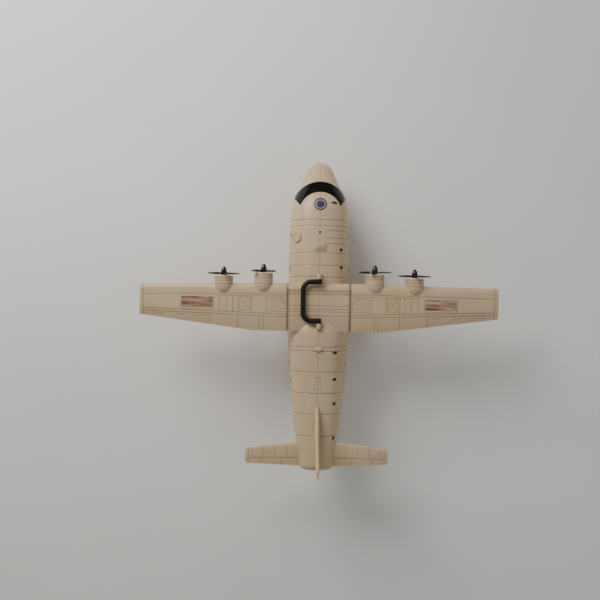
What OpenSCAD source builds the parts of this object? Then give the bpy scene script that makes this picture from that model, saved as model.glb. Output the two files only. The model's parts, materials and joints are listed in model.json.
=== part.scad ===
// Toy four-engine cargo airplane, sand-coloured moulded plastic.
// +Z is up, +Y points out of the nose and +X along the right wing.
// The origin is on the floor under the middle of the bounding box.
// Lengthwise places are stations: millimetres behind the nose tip.

/* [Airframe] */
// Length from nose tip to tail end
body_len = 631; // [615:1:645]
// Wing span, tip to tip
span = 720; // [690:2:740]
// Height of the fuselage belly above the floor
belly_z = 17; // [16:0.5:18]
// Wall thickness of the moulded shells
wall = 2; // [1.8:0.1:2.4]

/* [Wing] */
// Station of the leading edge at the root
le_st = 239.5; // [237:0.5:243]
// Chord at the root
chord = 96.5; // [92:0.5:100]
// How far the tip's trailing edge lies ahead of the root's
te_taper = 29.5; // [26:0.5:32]
// How far the tip's leading edge lies behind the root's
le_sweep = 5; // [2:0.5:8]
// Height of the plane in which the top and bottom wing shells meet
split_z = 136; // [134:0.5:138]

/* [Engines] */
// Distance of the inner engines from the middle
engine_in = 112; // [108:1:116]
// Distance of the outer engines from the middle
engine_out = 192; // [186:1:198]
// Radius of the nacelles
nac_r = 19; // [18:0.5:20]
// Length of a propeller blade from the shaft
blade_r = 34; // [28:1:36]

/* [Handle] */
// Outside length of the carry handle
handle_len = 88; // [84:1:92]
// Reach of the handle from its pivots to its outer edge
handle_reach = 37; // [34:1:40]
// Radius of the handle's round section
handle_r = 5; // [4:0.25:5.5]

/* [Tail] */
// Height of the fin above the fuselage
fin_h = 118; // [100:1:130]
// Span of both stabilisers together
stab_span = 288; // [260:2:300]

/* [Wheels] */
// Radius of the main wheels
main_r = 13; // [12:0.5:13.5]
// Radius of the nose wheels
nose_r = 9.5; // [8.5:0.25:9.5]

/* [Hidden] */

$fn = 48;
eps = 0.02;
gap = 0.3;
sand = [0.68, 0.60, 0.49];
dark = [0.09, 0.09, 0.10];
steel = [0.72, 0.72, 0.74];

// Stations run back from a datum behind the nose's tip, which is at this station
nose_st = -16;

// ---- Lines of the fuselage: distance behind the tip, half width, crown height, and belly
// height above belly_z
LINES = [
    [0, 0, 64, 47], [3, 11, 73, 39], [10, 20, 83.5, 31], [20, 26.5, 92, 24], [33, 32.5, 101, 17.5],
    [42, 36.5, 107.5, 14], [58, 43.5, 117.5, 9.5], [76, 52, 127.5, 6], [96, 57.5, 136.5, 3],
    [136, 60.7, 142, 1], [196, 62, 143.5, 0], [259, 62, 143.5, 0], [316, 62, 141, 0],
    [334, 62, 144, 0], [356, 61.5, 150, 0], [391, 61, 149.5, 0], [441, 58, 146, 1],
    [476, 54.4, 144, 11], [516, 49.6, 143, 29], [566, 42.8, 143, 51], [616, 36, 143, 71],
    [626, 34, 141.5, 75], [631, 28, 136, 82]
];
STATIONS = [-15.7, -14.8, -13, -10, -6, -1, 6, 14, 22, 30, 40, 52, 66, 80, 100, 122, 150, 180,
    212, 243, 270, 296, 306, 314, 322, 330, 340, 355, 375, 400, 425, 442, 460, 480, 500, 525, 550,
    575, 600, 606, 610, 613, 615];

half_l = body_len / 2;
function py(st) = half_l + nose_st - st;

// Cubic interpolation of column c of a table; the key may be bent by a square root
function knot(tab, i, bend) = bend ? sqrt(tab[i][0]) : tab[i][0];
function span_of(tab, s, i = 0) =
    (i >= len(tab) - 2 || s < tab[i + 1][0]) ? i : span_of(tab, s, i + 1);
function tangent(tab, i, c, bend) =
    let (a = max(i - 1, 0), b = min(i + 1, len(tab) - 1))
    (tab[b][c] - tab[a][c]) / (knot(tab, b, bend) - knot(tab, a, bend));
function curve(tab, s, c, bend = false) =
    let (
        i = span_of(tab, s),
        k0 = knot(tab, i, bend), h = knot(tab, i + 1, bend) - k0,
        t = ((bend ? sqrt(s) : s) - k0) / h, u = 1 - t
    )
    u * u * (1 + 2 * t) * tab[i][c] + t * u * u * h * tangent(tab, i, c, bend)
    + t * t * (3 - 2 * t) * tab[i + 1][c] - t * t * u * h * tangent(tab, i + 1, c, bend);

function half_w(st) = curve(LINES, st - nose_st, 1, true);
function crown(st) = curve(LINES, st - nose_st, 2, true);
function belly(st) = belly_z + curve(LINES, st - nose_st, 3, true);
up_n = 2.3;
low_n = 3.2;
// Height of the fuselage's upper skin at a station and a distance from the middle
function skin_z(st, x) =
    let (zc = (crown(st) + belly(st)) / 2)
    zc + (crown(st) - zc) * pow(1 - pow(abs(x) / half_w(st), up_n), 1 / up_n);

// One closed section of the fuselage, grown outward by g
ring_n = 36;
function ring(st, g) =
    let (
        w = max(half_w(st) + g, 0.4), zc = (crown(st) + belly(st)) / 2,
        up = max(crown(st) + g - zc, 0.4), dn = max(zc - belly(st) + g, 0.4),
        bl = min(1, (st - nose_st) / 96), nu = 2 + (up_n - 2) * bl, nd = 2 + (low_n - 2) * bl
    )
    [for (i = [0 : ring_n - 1])
        let (a = 360 * i / ring_n, n = sin(a) >= 0 ? nu : nd)
        [w * sign(cos(a)) * pow(abs(cos(a)), 2 / n), py(st),
         zc + (sin(a) >= 0 ? up : dn) * sign(sin(a)) * pow(abs(sin(a)), 2 / n)]];

// Solid skinned over rings of equal length, each clockwise as seen from before the first
module skin(rings) {
    n = len(rings[0]);
    m = len(rings);
    polyhedron(
        points = [for (r = rings) each r],
        faces = concat(
            [[for (i = [0 : n - 1]) i]],
            [[for (i = [n - 1 : -1 : 0]) (m - 1) * n + i]],
            [for (j = [0 : m - 2]) for (i = [0 : n - 1])
                let (k = (i + 1) % n) each
                [[j * n + i, (j + 1) * n + k, j * n + k],
                 [j * n + i, (j + 1) * n + i, (j + 1) * n + k]]]
        )
    );
}

// Its children become one mesh, which suits smooth moulded skins
module moulded() { resize([0, 0, 0]) children(); }

module fuselage_solid(g = 0, from = nose_st, to = 615) {
    skin([for (st = STATIONS) if (st >= from && st <= to) ring(st, g)]);
}
// The hollow: it stays a wall inside the skin, and inside the blunt tail
module fuselage_hollow() {
    skin([for (st = STATIONS) if (st >= nose_st + 6 && st <= 606)
        ring(st == 606 ? 610 - wall : st, -wall)]);
}
module right_side() {
    translate([0, -400, -10]) cube([400, 800, 400]);
}

// ---- Wing section: share of chord and share of height on the upper or lower side
le_part = 0.18;
function profile() = concat(
    [for (a = [0 : 15 : 90]) [le_part * (1 - cos(a)), sin(a)]],
    [[0.55, 1], [0.7, 0.9], [0.85, 0.62], [1, 0.22]]
);
root_x = 63.5;
tip_x = span / 2;
break_x = 131;
upper_h = [10, 7];
lower_h = [8, 5];
function reach(x) = max(0, (x - root_x) / (tip_x - root_x));
function le_y(x) = py(le_st) - le_sweep * reach(x);
function te_y(x) = py(le_st + chord) + te_taper * max(0, (x - break_x) / (tip_x - break_x));
function mix(pair, t) = pair[0] + (pair[1] - pair[0]) * t;

// Half a wing section at x, above (side 1) or below (side -1) the split, shrunk by g
function wing_ring(x, side, g, lift = 0) =
    let (
        h = mix(side > 0 ? upper_h : lower_h, reach(x)) - g,
        le = le_y(x) - g, te = te_y(x) + 2 * g
    )
    concat(
        [for (p = profile()) [x, le + (te - le) * p[0], split_z + side * (lift + h * p[1])]],
        [[x, te, split_z - side * (g > 0 ? 1 : 0)], [x, le, split_z - side * (g > 0 ? 1 : 0)]]
    );

module wing_half(x0, x1, side, g = 0) {
    xs = concat([x0], x0 < break_x && x1 > break_x ? [break_x] : [], [x1]);
    rings = [for (x = xs) wing_ring(x, side, g)];
    skin(side > 0 ? rings : [for (r = rings) [for (i = [len(r) - 1 : -1 : 0]) r[i]]]);
}

// ---- Nacelles: a revolved pod along Y, upper half short and lower half long
nac_z = split_z - 3;
cowl_l = 7;
function nac_front(x) = le_y(x) + (x < 150 ? 20.5 : 15.5);
module pod(x, g, side) {
    tail = side > 0 ? 22 : 58;
    body = nac_front(x) - le_y(x) - cowl_l + 2;
    translate([x, nac_front(x) - cowl_l, nac_z]) rotate([90, 0, 0])
        rotate_extrude($fn = 40) polygon(concat(
            [[0, g > 0 ? -1 : 0], [nac_r - g, g > 0 ? -1 : 0]],
            [for (a = [0 : 10 : 90]) [(nac_r - g) * cos(a), body + (tail - g) * sin(a)]]
        ));
}

module above_split() { translate([0, -200, split_z]) cube([400, 600, 60]); }
module below_split() { translate([0, -200, split_z - 60]) cube([400, 600, 60]); }

// Right outer wing panel's shell, with its halves of two nacelles
module wing_shell(side) {
    cap = 8;
    moulded() difference() {
        union() {
            wing_half(root_x + 0.2, tip_x, side);
            for (x = [engine_in, engine_out]) intersection() {
                pod(x, 0, side);
                if (side > 0) above_split();
                else below_split();
            }
        }
        wing_half(root_x - 1, tip_x - cap, side, 1.8);
        for (x = [engine_in, engine_out]) intersection() {
            pod(x, 2, side);
            translate([0, 0, side > 0 ? -1 : 1]) {
                if (side > 0) above_split();
                else below_split();
            }
        }
    }
}
wing_screw_x = [90, 150, 235, 320];
module at_wing_screws() {
    for (x = wing_screw_x) translate([x, py(le_st + 48), split_z - mix(lower_h, reach(x)) + 1])
        rotate([180, 0, 0]) children();
}
// Tongue on the bottom shell that plugs into the wing's middle
module wing_tongue() {
    difference() {
        translate([42, py(le_st + 52), split_z - lower_h[0] + wall]) cube([root_x - 40, 32, 5]);
        for (st = [le_st + 28, le_st + 44]) translate([50, py(st), split_z - 8])
            cylinder(r = 1.6, h = 9);
    }
}

module wing_top(mirrored) {
    color(sand) mirror([mirrored ? 1 : 0, 0, 0]) wing_shell(1);
}
module wing_bottom(mirrored) {
    color(sand) mirror([mirrored ? 1 : 0, 0, 0]) {
        difference() {
            wing_shell(-1);
            at_wing_screws() {
                translate([0, 0, -6]) cylinder(r = screw_r, h = 20);
                translate([0, 0, -0.01]) cylinder(r = screw_hole_r, h = 5);
            }
        }
        wing_tongue();
    }
}

// Printed label lying on the wing's flat top
decal_x = [212.5, 275.5];
decal_y = [py(269), py(290)];
module wing_decal(mirrored) {
    function top_z(x) = split_z + mix(upper_h, reach(x));
    color([0.5, 0.36, 0.28]) mirror([mirrored ? 1 : 0, 0, 0]) skin([
        for (x = decal_x) [
            [x, decal_y[0], top_z(x) + 0.3], [x, decal_y[1], top_z(x) + 0.3],
            [x, decal_y[1], top_z(x) + 0.01], [x, decal_y[0], top_z(x) + 0.01]
        ]
    ]);
}

// ---- Middle of the wing, moulded with the fuselage halves
function deck_ring(x, g) =
    let (
        le = le_y(0) - g, te = te_y(0) + 2 * g,
        up = upper_h[0] - g, dn = lower_h[0] - g, n = len(profile())
    )
    concat(
        [for (p = profile()) [x, le + (te - le) * p[0], split_z + up * p[1]]],
        [for (i = [n - 1 : -1 : 1])
            let (p = profile()[i])
            [x, le + (te - le) * p[0], split_z - dn * p[1]]]
    );
module deck(g, from = 0) {
    skin([deck_ring(from, g), deck_ring(root_x + (g > 0 ? 1 : 0), g)]);
}

// ---- Openings in the fuselage skin
ws_out_c = [0, py(93.5)];
ws_out_r = 62;
ws_in_c = [0, py(98)];
ws_in_r = 44;
// Plan outline of the windscreen band: between two arcs, cut off aslant at the ends
module windscreen_plan(d = 0) {
    intersection() {
        difference() {
            translate(ws_out_c) circle(r = ws_out_r + d, $fn = 96);
            translate(ws_in_c) circle(r = ws_in_r - d, $fn = 96);
        }
        translate([0, py(86.5) - d]) polygon([
            [0, -40], [30, -10], [41, 5], [70, 44], [70, 90], [-70, 90], [-70, 44],
            [-41, 5], [-30, -10]
        ]);
    }
}
module windscreen_cutter(d = 0) {
    translate([0, 0, 84]) linear_extrude(90) windscreen_plan(d);
}
ramp_st = [440, 574];
ramp_half = 30;
// Box that cuts out the ramp, or the larger opening that it swings out of
module ramp_box(side = 0, fore = 0, aft = 0) {
    translate([-ramp_half - side, py(ramp_st[1]) - aft, 0])
        cube([2 * (ramp_half + side), ramp_st[1] - ramp_st[0] + fore + aft, 100]);
}
door_st = [118, 172];
door_half = 24;
fin_st = 483;
peg_st = fin_st + 18;
peg_r = 7.8;
tab_st = [571.6, 592.6];
button_st = 146.6;
button_x = 45.6;
button_r = 11;
button_tilt = 45;
button_z = skin_z(button_st, button_x);
module at_button() {
    translate([-button_x, py(button_st), button_z]) rotate([0, -button_tilt, 0]) children();
}
screw_places = [[26, 77], [41.8, 171.4], [42.6, 207], [31.6, 378], [31.6, 432], [31.6, 481], [32, 550.6]];
screw_r = 1.2;
screw_seat = 8;
screw_reach = 20;
screw_hole_r = 2.6;
module at_screws() {
    for (p = screw_places) translate([0, py(p[1]), skin_z(p[1], p[0]) - 1.5]) rotate([0, 90, 0])
        children();
}

// A half with its screw bosses, which are boss_l long
module half_shell(boss_l) {
    moulded() difference() {
        intersection() {
            union() {
                difference() {
                    union() {
                        fuselage_solid();
                        deck(0);
                    }
                    fuselage_hollow();
                    deck(wall, -wall);
                }
                intersection() {
                    at_screws() {
                        translate([0, 0, -1]) cylinder(r = 4.2, h = boss_l + 1, $fn = 16);
                        translate([-16, -1, -1]) cube([16, 2, screw_seat + 5]);
                    }
                    fuselage_solid(-0.4);
                }
            }
            right_side();
        }
        windscreen_cutter(0.1);
        ramp_box(0.6, 3.6, 1.7);
        translate([-door_half, py(door_st[1]), 0])
            cube([2 * door_half, door_st[1] - door_st[0], 40]);
        translate([0, py(peg_st), 120]) cylinder(r = peg_r + 0.3, h = 60, $fn = 40);
        translate([-3.3, py(tab_st[1] + 0.3), 120]) cube([6.6, tab_st[1] - tab_st[0] + 0.6, 40]);
        translate([0, py(137.6), 130]) cylinder(r = 1.6, h = 30, $fn = 20);
    }
}
module fuselage_right() {
    color(sand) difference() {
        half_shell(48);
        at_screws() {
            translate([0, 0, screw_seat]) cylinder(r = screw_hole_r, h = 70);
            translate([0, 0, -1]) cylinder(r = screw_r + 0.1, h = screw_seat + 2);
        }
    }
}
module fuselage_left() {
    color(sand) difference() {
        mirror([1, 0, 0]) half_shell(screw_reach - screw_seat + 2);
        at_button() translate([0, 0, -20]) cylinder(r = button_r + gap, h = 40);
        mirror([1, 0, 0]) at_screws() translate([0, 0, -1])
            cylinder(r = screw_r, h = screw_reach - screw_seat + 1);
    }
}

// ---- Windscreen: a curved glossy band let into the skin and standing slightly proud
module windscreen() {
    color(dark) moulded() intersection() {
        difference() {
            fuselage_solid(0.7, 0, 180);
            fuselage_solid(-1.3, 3, 180);
        }
        windscreen_cutter();
    }
}

module patch(st, r, lift) {
    moulded() intersection() {
        difference() {
            fuselage_solid(lift + 0.05, 40, 150);
            fuselage_solid(0.05, 40, 150);
        }
        translate([0, py(st), 100]) cylinder(r = r, h = 60, $fn = 48);
    }
}
module nose_emblem() { color([0.25, 0.22, 0.3]) patch(80, 13, 0.3); }

module top_hatch() {
    color(sand) difference() {
        translate([-11, py(173), crown(166) - 1.2]) {
            cube([22, 14, 3.6]);
            translate([3, 3, 0]) cube([16, 8, 4.8]);
        }
        moulded() fuselage_solid(0.05, 122, 212);
    }
}

module antenna_blister() {
    color(sand) moulded() difference() {
        translate([0, py(371.4), crown(371.4) - 1]) scale([10, 5.5, 4.5]) sphere(r = 1, $fn = 32);
        fuselage_solid(0.05, 340, 400);
    }
}

// ---- Engines
pin_r = 1.5;
module at_engine(i) {
    x = [-engine_out, -engine_in, engine_in, engine_out][i];
    translate([x, nac_front(abs(x)), nac_z]) rotate([-90, 0, 0]) children();
}
// Front ring of a nacelle: rounded lip, recessed face and a boss for the pin
module cowl(i) {
    lip = 2.5;
    color(sand) at_engine(i) rotate_extrude($fn = 64) difference() {
        union() {
            translate([pin_r, -cowl_l + gap]) square([nac_r - pin_r, 2]);
            translate([pin_r, -cowl_l + gap]) square([3, cowl_l - 1]);
            translate([nac_r - 2 * lip, -cowl_l + gap]) square([2 * lip, cowl_l - lip - gap]);
            translate([nac_r - lip, -lip]) circle(r = lip, $fn = 32);
        }
        translate([-10, -20]) square([10, 40]);
    }
}
spinner_l = 18;
hub_r = 6;
module blade_outline() {
    intersection() {
        union() {
            translate([0, -4]) square([blade_r - 5, 8]);
            translate([blade_r - 5, 0]) circle(r = 5, $fn = 32);
        }
        translate([0, -4]) square([blade_r, 8]);
    }
}
module propeller(i) {
    run = 0.05;
    color(dark) at_engine(i) rotate([0, 0, 20 + 25 * i]) difference() {
        union() {
            translate([0, 0, gap]) rotate_extrude($fn = 48) polygon(concat(
                [[0, 0], [hub_r, 0]],
                [for (a = [0 : 12 : 84]) [hub_r * cos(a), 5 + (spinner_l - 5) * sin(a)]],
                [[0, spinner_l]]
            ));
            for (a = [0 : 90 : 270]) rotate([0, 0, a]) translate([0, 0, 3.4])
                rotate([28, 0, 0]) translate([0, 0, -0.9]) linear_extrude(1.8) blade_outline();
        }
        translate([0, 0, -1]) cylinder(r = pin_r + run, h = 12);
    }
}
module propeller_pins() {
    color(steel) for (i = [0 : 3]) at_engine(i) translate([0, 0, -cowl_l + gap + 0.01])
        cylinder(r = pin_r, h = cowl_l + 9);
}

// ---- Carry handle, folded down to the left
pivot_z = split_z + upper_h[0] + handle_r + 1.4;
handle_st = [237, 237 + handle_len - 2 * handle_r];
bend_r = 16.5;
trunnion_r = 2;
module handle_bar(st) {
    translate([-handle_reach + handle_r + bend_r, py(st), 0]) rotate([0, 90, 0])
        cylinder(r = handle_r, h = handle_reach - handle_r - bend_r);
}
module carry_handle() {
    gx = -handle_reach + handle_r;
    color(dark) translate([0, 0, pivot_z]) difference() {
        union() {
            for (st = handle_st) {
                handle_bar(st);
                translate([0, py(st) - handle_r, 0]) rotate([-90, 0, 0])
                    cylinder(r = handle_r, h = 2 * handle_r);
            }
            translate([gx + bend_r, py(handle_st[0]) - bend_r, 0]) rotate([0, 0, 90])
                rotate_extrude(angle = 90) translate([bend_r, 0]) circle(r = handle_r);
            translate([gx + bend_r, py(handle_st[1]) + bend_r, 0]) rotate([0, 0, 180])
                rotate_extrude(angle = 90) translate([bend_r, 0]) circle(r = handle_r);
            translate([gx, py(handle_st[1]) + bend_r, 0]) rotate([-90, 0, 0])
                cylinder(r = handle_r, h = handle_st[1] - handle_st[0] - 2 * bend_r);
        }
        for (st = handle_st) translate([0, py(st) - 10, 0]) rotate([-90, 0, 0])
            cylinder(r = trunnion_r, h = 20);
    }
}
// Post beside each end of the handle, with the pivot hole
post_l = 11;
module bracket(y0, foot_z) {
    color(sand) translate([0, y0, 0]) difference() {
        union() {
            translate([-4.5, 0, foot_z]) cube([9, post_l, pivot_z - foot_z]);
            translate([0, 0, pivot_z]) rotate([-90, 0, 0]) cylinder(r = 4.5, h = post_l);
        }
        translate([0, -1, pivot_z]) rotate([-90, 0, 0]) cylinder(r = trunnion_r + 0.05, h = post_l + 2);
    }
}
front_post_y = py(handle_st[0]) + handle_r + gap;
rear_post_y = py(handle_st[1]) - handle_r - gap - post_l;
module handle_bracket_front() {
    difference() {
        bracket(front_post_y, crown(226) - 2);
        moulded() {
            fuselage_solid(0.02, 180, 270);
            deck(-0.02);
        }
    }
}
module handle_bracket_rear() {
    difference() {
        bracket(rear_post_y, split_z + 6);
        moulded() {
            fuselage_solid(0.02, 296, 375);
            deck(-0.02);
            mirror([1, 0, 0]) deck(-0.02);
        }
    }
}
module handle_pins() {
    color(steel) translate([0, 0, pivot_z]) for (y = [front_post_y, rear_post_y])
        translate([0, y == front_post_y ? y - 2 * handle_r + 1 : y + 1, 0]) rotate([-90, 0, 0])
            cylinder(r = trunnion_r, h = post_l + 2 * handle_r - 3);
}

// ---- Sound unit
bulkhead_st = 200;
standoff_l = 4;
board_z = 88;
// Depth of the button's flange below the skin, and of the cup's floor
flange_d = 6;
cup_d = 16.5;
module sound_button() {
    color(sand) at_button() {
        translate([0, 0, -flange_d]) cylinder(r = button_r, h = flange_d + 2);
        translate([0, 0, 2]) cylinder(r1 = button_r, r2 = button_r - 1.6, h = 1.2);
        translate([0, 0, -flange_d - 2.5]) cylinder(r = 3, h = 2.6);
        translate([0, 0, -flange_d]) cylinder(r = button_r + 1.8, h = 1.2);
    }
}
// Cup under the button that keeps it in line
module button_guide() {
    color([0.2, 0.2, 0.22]) at_button() difference() {
        translate([0, 0, -cup_d - 1.5]) cylinder(r = button_r + 4, h = cup_d - 3.9);
        translate([0, 0, -cup_d]) cylinder(r = button_r + 2.2, h = 20);
    }
}
spring_turns = 5;
module button_spring() {
    wire_r = 0.4;
    pitch = (cup_d - flange_d - 2 * wire_r - 2 * eps) / spring_turns;
    color(steel) at_button() translate([0, 0, -cup_d + wire_r + eps]) skin([
        for (k = [0 : 12 * spring_turns])
            let (a = 30 * k, z = pitch * k / 12)
            [for (b = [0 : 90 : 270])
                let (r = 5.5 + wire_r * cos(b))
                [r * cos(a), r * sin(a), z - wire_r * sin(b)]]
    ]);
}
module circuit_board() {
    translate([0, py(bulkhead_st) + 2 + standoff_l, board_z]) rotate([90, 0, 0]) mirror([0, 0, 1]) {
        color([0.1, 0.35, 0.15]) difference() {
            translate([-24, -17, 0]) cube([48, 34, 1.6]);
            for (x = [-20, 20], y = [-13, 13]) translate([x, y, -1]) cylinder(r = 1.4, h = 4, $fn = 24);
        }
        color(dark) {
            translate([-6, -6, 1.6]) cube([12, 12, 1.8]);
            translate([14, 2, 1.6]) cylinder(r = 3, h = 6);
        }
    }
}
module speaker() {
    color([0.15, 0.15, 0.16]) translate([0, py(146), box_z + 23]) {
        difference() {
            cylinder(r = 20, h = 3);
            translate([0, 0, 1]) cylinder(r1 = 6, r2 = 17, h = 3);
        }
        translate([0, 0, -6]) cylinder(r = 9, h = 6.1);
    }
}
box_z = belly_z + 5;
box_boss_z = belly_z + 3;
module battery_box() {
    w = door_half + 2;
    l = door_st[1] - door_st[0] + 4;
    color([0.2, 0.2, 0.22]) difference() {
        union() {
            translate([-w, py(door_st[1]) - 2, box_z]) difference() {
                cube([2 * w, l, 17]);
                translate([2, 2, -1]) cube([2 * w - 4, l - 4, 16]);
            }
            translate([0, py(door_st[0] + 6), box_boss_z]) cylinder(r = 3, h = 18);
        }
        translate([0, py(door_st[0] + 6), box_boss_z - 1]) cylinder(r = 1.5, h = 8);
    }
}
module battery_door() {
    color(sand) difference() {
        translate([-door_half + gap, py(door_st[1]) + gap, belly_z + 0.6])
            cube([2 * (door_half - gap), door_st[1] - door_st[0] - 2 * gap, 2.2]);
        translate([0, py(door_st[0] + 6), belly_z - 1]) cylinder(r = 1.6, h = 6);
    }
}
module battery_cells() {
    color(steel) for (k = [0 : 2]) translate([0, py(134 + 13.5 * k), box_z + 7])
        rotate([0, 90, 0]) translate([0, 0, -20]) {
            cylinder(r = 5.2, h = 39);
            translate([0, 0, 39]) cylinder(r = 1.8, h = 1.2);
        }
}
module battery_door_screw() {
    color(steel) translate([0, py(door_st[0] + 6), belly_z - 0.9]) {
        cylinder(r = 2.8, h = 1.5);
        translate([0, 0, 1.5]) cylinder(r = 1.5, h = 4);
    }
}
// Lamp under the windscreen, on a post that stands on the belly
lamp_st = 64;
lamp_z = 104;
module cockpit_lamp() {
    foot_z = belly(lamp_st) + wall + 1;
    color([0.9, 0.85, 0.6]) translate([0, py(lamp_st), lamp_z]) {
        cylinder(r = 3, h = 1);
        cylinder(r = 2.5, h = 6);
        translate([0, 0, 6]) sphere(r = 2.5);
    }
    color(sand) translate([0, py(lamp_st), foot_z]) cylinder(r = 4, h = lamp_z - foot_z);
}

// ---- Cargo bay and its ramp
floor_st = [204, 420];
floor_half = 35;
floor_z = belly_z + 8;
module cargo_floor() {
    color(sand) {
        translate([-floor_half, py(floor_st[1]), floor_z])
            cube([2 * floor_half, floor_st[1] - floor_st[0], 1.8]);
        for (x = [-18, 0, 18]) translate([x - 1, py(floor_st[1]), belly_z + 3.8])
            cube([2, floor_st[1] - floor_st[0], floor_z - belly_z - 3.8]);
    }
}
module bulkhead() {
    color(sand) {
        moulded() intersection() {
            skin([for (st = [180, 212]) ring(st, -wall - eps)]);
            translate([-100, py(bulkhead_st), 0]) cube([200, 2, 200]);
        }
        for (x = [-20, 20], z = [-13, 13]) translate([x, py(bulkhead_st) + 1, board_z + z])
            rotate([-90, 0, 0]) cylinder(r = 2.6, h = 1 + standoff_l);
    }
}
hinge_st = 440;
hinge_z = belly(hinge_st) + 5.4;
lug_x = [20, 28];
block_x = 11.7;
module ramp_skin() {
    moulded() intersection() {
        difference() {
            fuselage_solid(0, 400, 600);
            fuselage_solid(-wall, 375, 606);
        }
        ramp_box();
    }
}
module cargo_ramp() {
    color(sand) {
        difference() {
            union() {
                ramp_skin();
                for (x = [-lug_x[1], lug_x[0]]) {
                    translate([x, py(hinge_st), hinge_z]) rotate([0, 90, 0])
                        cylinder(r = 3, h = lug_x[1] - lug_x[0]);
                    translate([x, py(hinge_st + 9), hinge_z - 3.6])
                        cube([lug_x[1] - lug_x[0], 9, 5.2]);
                }
            }
            translate([-ramp_half, py(hinge_st), hinge_z]) rotate([0, 90, 0])
                cylinder(r = 1.55, h = 2 * ramp_half);
            for (x = [-lug_x[0], block_x - gap]) translate([x, py(hinge_st), hinge_z]) rotate([0, 90, 0])
                cylinder(r = 3.4, h = lug_x[0] - block_x + gap);
        }
    }
}
module ramp_hinge_pins() {
    l = lug_x[1] - block_x - 1;
    color(steel) for (x = [-lug_x[1] + 0.5, block_x + 0.5]) translate([x, py(hinge_st), hinge_z])
        rotate([0, 90, 0]) cylinder(r = 1.5, h = l);
}
// Each stands on the belly ahead of the opening and reaches back over its edge
module ramp_hinge_blocks() {
    w = lug_x[0] - gap - block_x;
    color(sand) for (m = [0, 1]) mirror([m, 0, 0]) translate([block_x, py(hinge_st), 0]) difference() {
        union() {
            translate([0, 0, hinge_z]) rotate([0, 90, 0]) cylinder(r = 3, h = w);
            translate([0, 0, hinge_z - 2]) cube([w, 10, 5]);
            moulded() intersection() {
                translate([0, 4.8, hinge_z - 10]) cube([w, 5.2, 9]);
                translate([-block_x, -py(hinge_st), 0])
                    skin([for (st = [425, 442, 460]) ring(st, -wall - eps)]);
            }
        }
        translate([-1, 0, hinge_z]) rotate([0, 90, 0]) cylinder(r = 1.5, h = w + 2);
    }
}

// ---- Landing gear
nose_gear_st = 84;
nose_axle_r = 1.5;
module nose_gear_leg() {
    color(sand) difference() {
        union() {
            translate([-4, py(nose_gear_st) - 4, nose_r]) cube([8, 8, belly(nose_gear_st) + 2 - nose_r]);
            translate([-4, py(nose_gear_st), nose_r]) rotate([0, 90, 0]) cylinder(r = 4, h = 8);
        }
        translate([-5, py(nose_gear_st), nose_r]) rotate([0, 90, 0])
            cylinder(r = nose_axle_r + 0.05, h = 10);
        moulded() fuselage_solid(0.02, 52, 122);
    }
}
module tyre(r, w, bore) {
    rotate([0, 90, 0]) translate([0, 0, -w / 2]) rotate_extrude($fn = 64) polygon([
        [bore, 0.8], [r * 0.55, 0.8], [r * 0.62, 0], [r - 1.4, 0], [r, 1.4], [r, w - 1.4],
        [r - 1.4, w], [r * 0.62, w], [r * 0.55, w - 0.8], [bore, w - 0.8]
    ]);
}
module nose_wheel(side) {
    color(dark) translate([side * 8.3, py(nose_gear_st), nose_r]) tyre(nose_r, 7, nose_axle_r);
}
module nose_axle() {
    color(steel) translate([-12, py(nose_gear_st), nose_r]) rotate([0, 90, 0])
        cylinder(r = nose_axle_r, h = 24);
}
main_st = [268, 312];
main_x = 66;
pod_st = [244, 338];
sponson_z = [8, 64];
module sponson(mirrored) {
    lx = pod_st[1] - pod_st[0];
    color(sand) mirror([mirrored ? 1 : 0, 0, 0]) difference() {
        translate([0, py(pod_st[1]), 0]) moulded() difference() {
            hull() {
                for (y = [12, lx - 18]) translate([58, y, sponson_z[0] + 9]) sphere(r = 9, $fn = 24);
                for (y = [14, lx - 20]) translate([62, y, sponson_z[0] + 14]) sphere(r = 11.5, $fn = 24);
                for (y = [20, lx - 30]) translate([54, y, sponson_z[1] - 7]) sphere(r = 8, $fn = 24);
            }
            translate([0, -py(pod_st[1]), 0]) fuselage_solid(0.02, 212, 375);
            for (st = main_st) translate([main_x - 5.5, py(st) - py(pod_st[1]) - main_r - 1, -1])
                cube([11, 2 * main_r + 2, main_r + 17]);
        }
        for (st = main_st) translate([40, py(st), main_r]) rotate([0, 90, 0])
            cylinder(r = 1.5, h = 60);
    }
}
module at_main(i) {
    x = main_x * [-1, 1, -1, 1][i];
    translate([x, py(main_st[i < 2 ? 0 : 1]), main_r]) children();
}
module main_wheel(i) { color(dark) at_main(i) tyre(main_r, 9, 1.55); }
module main_wheel_pins() {
    color(steel) for (i = [0 : 3]) at_main(i) rotate([0, 90, 0])
        translate([0, 0, -7]) cylinder(r = 1.5, h = 14);
}

// ---- Tail
// Fin outline: height above the root, and leading edge behind the fin's front tip
FIN_LE = [[0, 0], [8, 8], [16, 21], [25, 38], [36, 52], [51, 62], [67, 72], [84, 82.5], [118, 104]];
fin_z = 143.6;
fin_end_st = 613;
function fin_le(v) = py(fin_st) - curve(FIN_LE, v * 118 / fin_h, 1);
function fin_te(v) = py(fin_end_st) + 4 * v / fin_h;
function fin_t(v) = 5 - 1.8 * v / fin_h;
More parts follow.
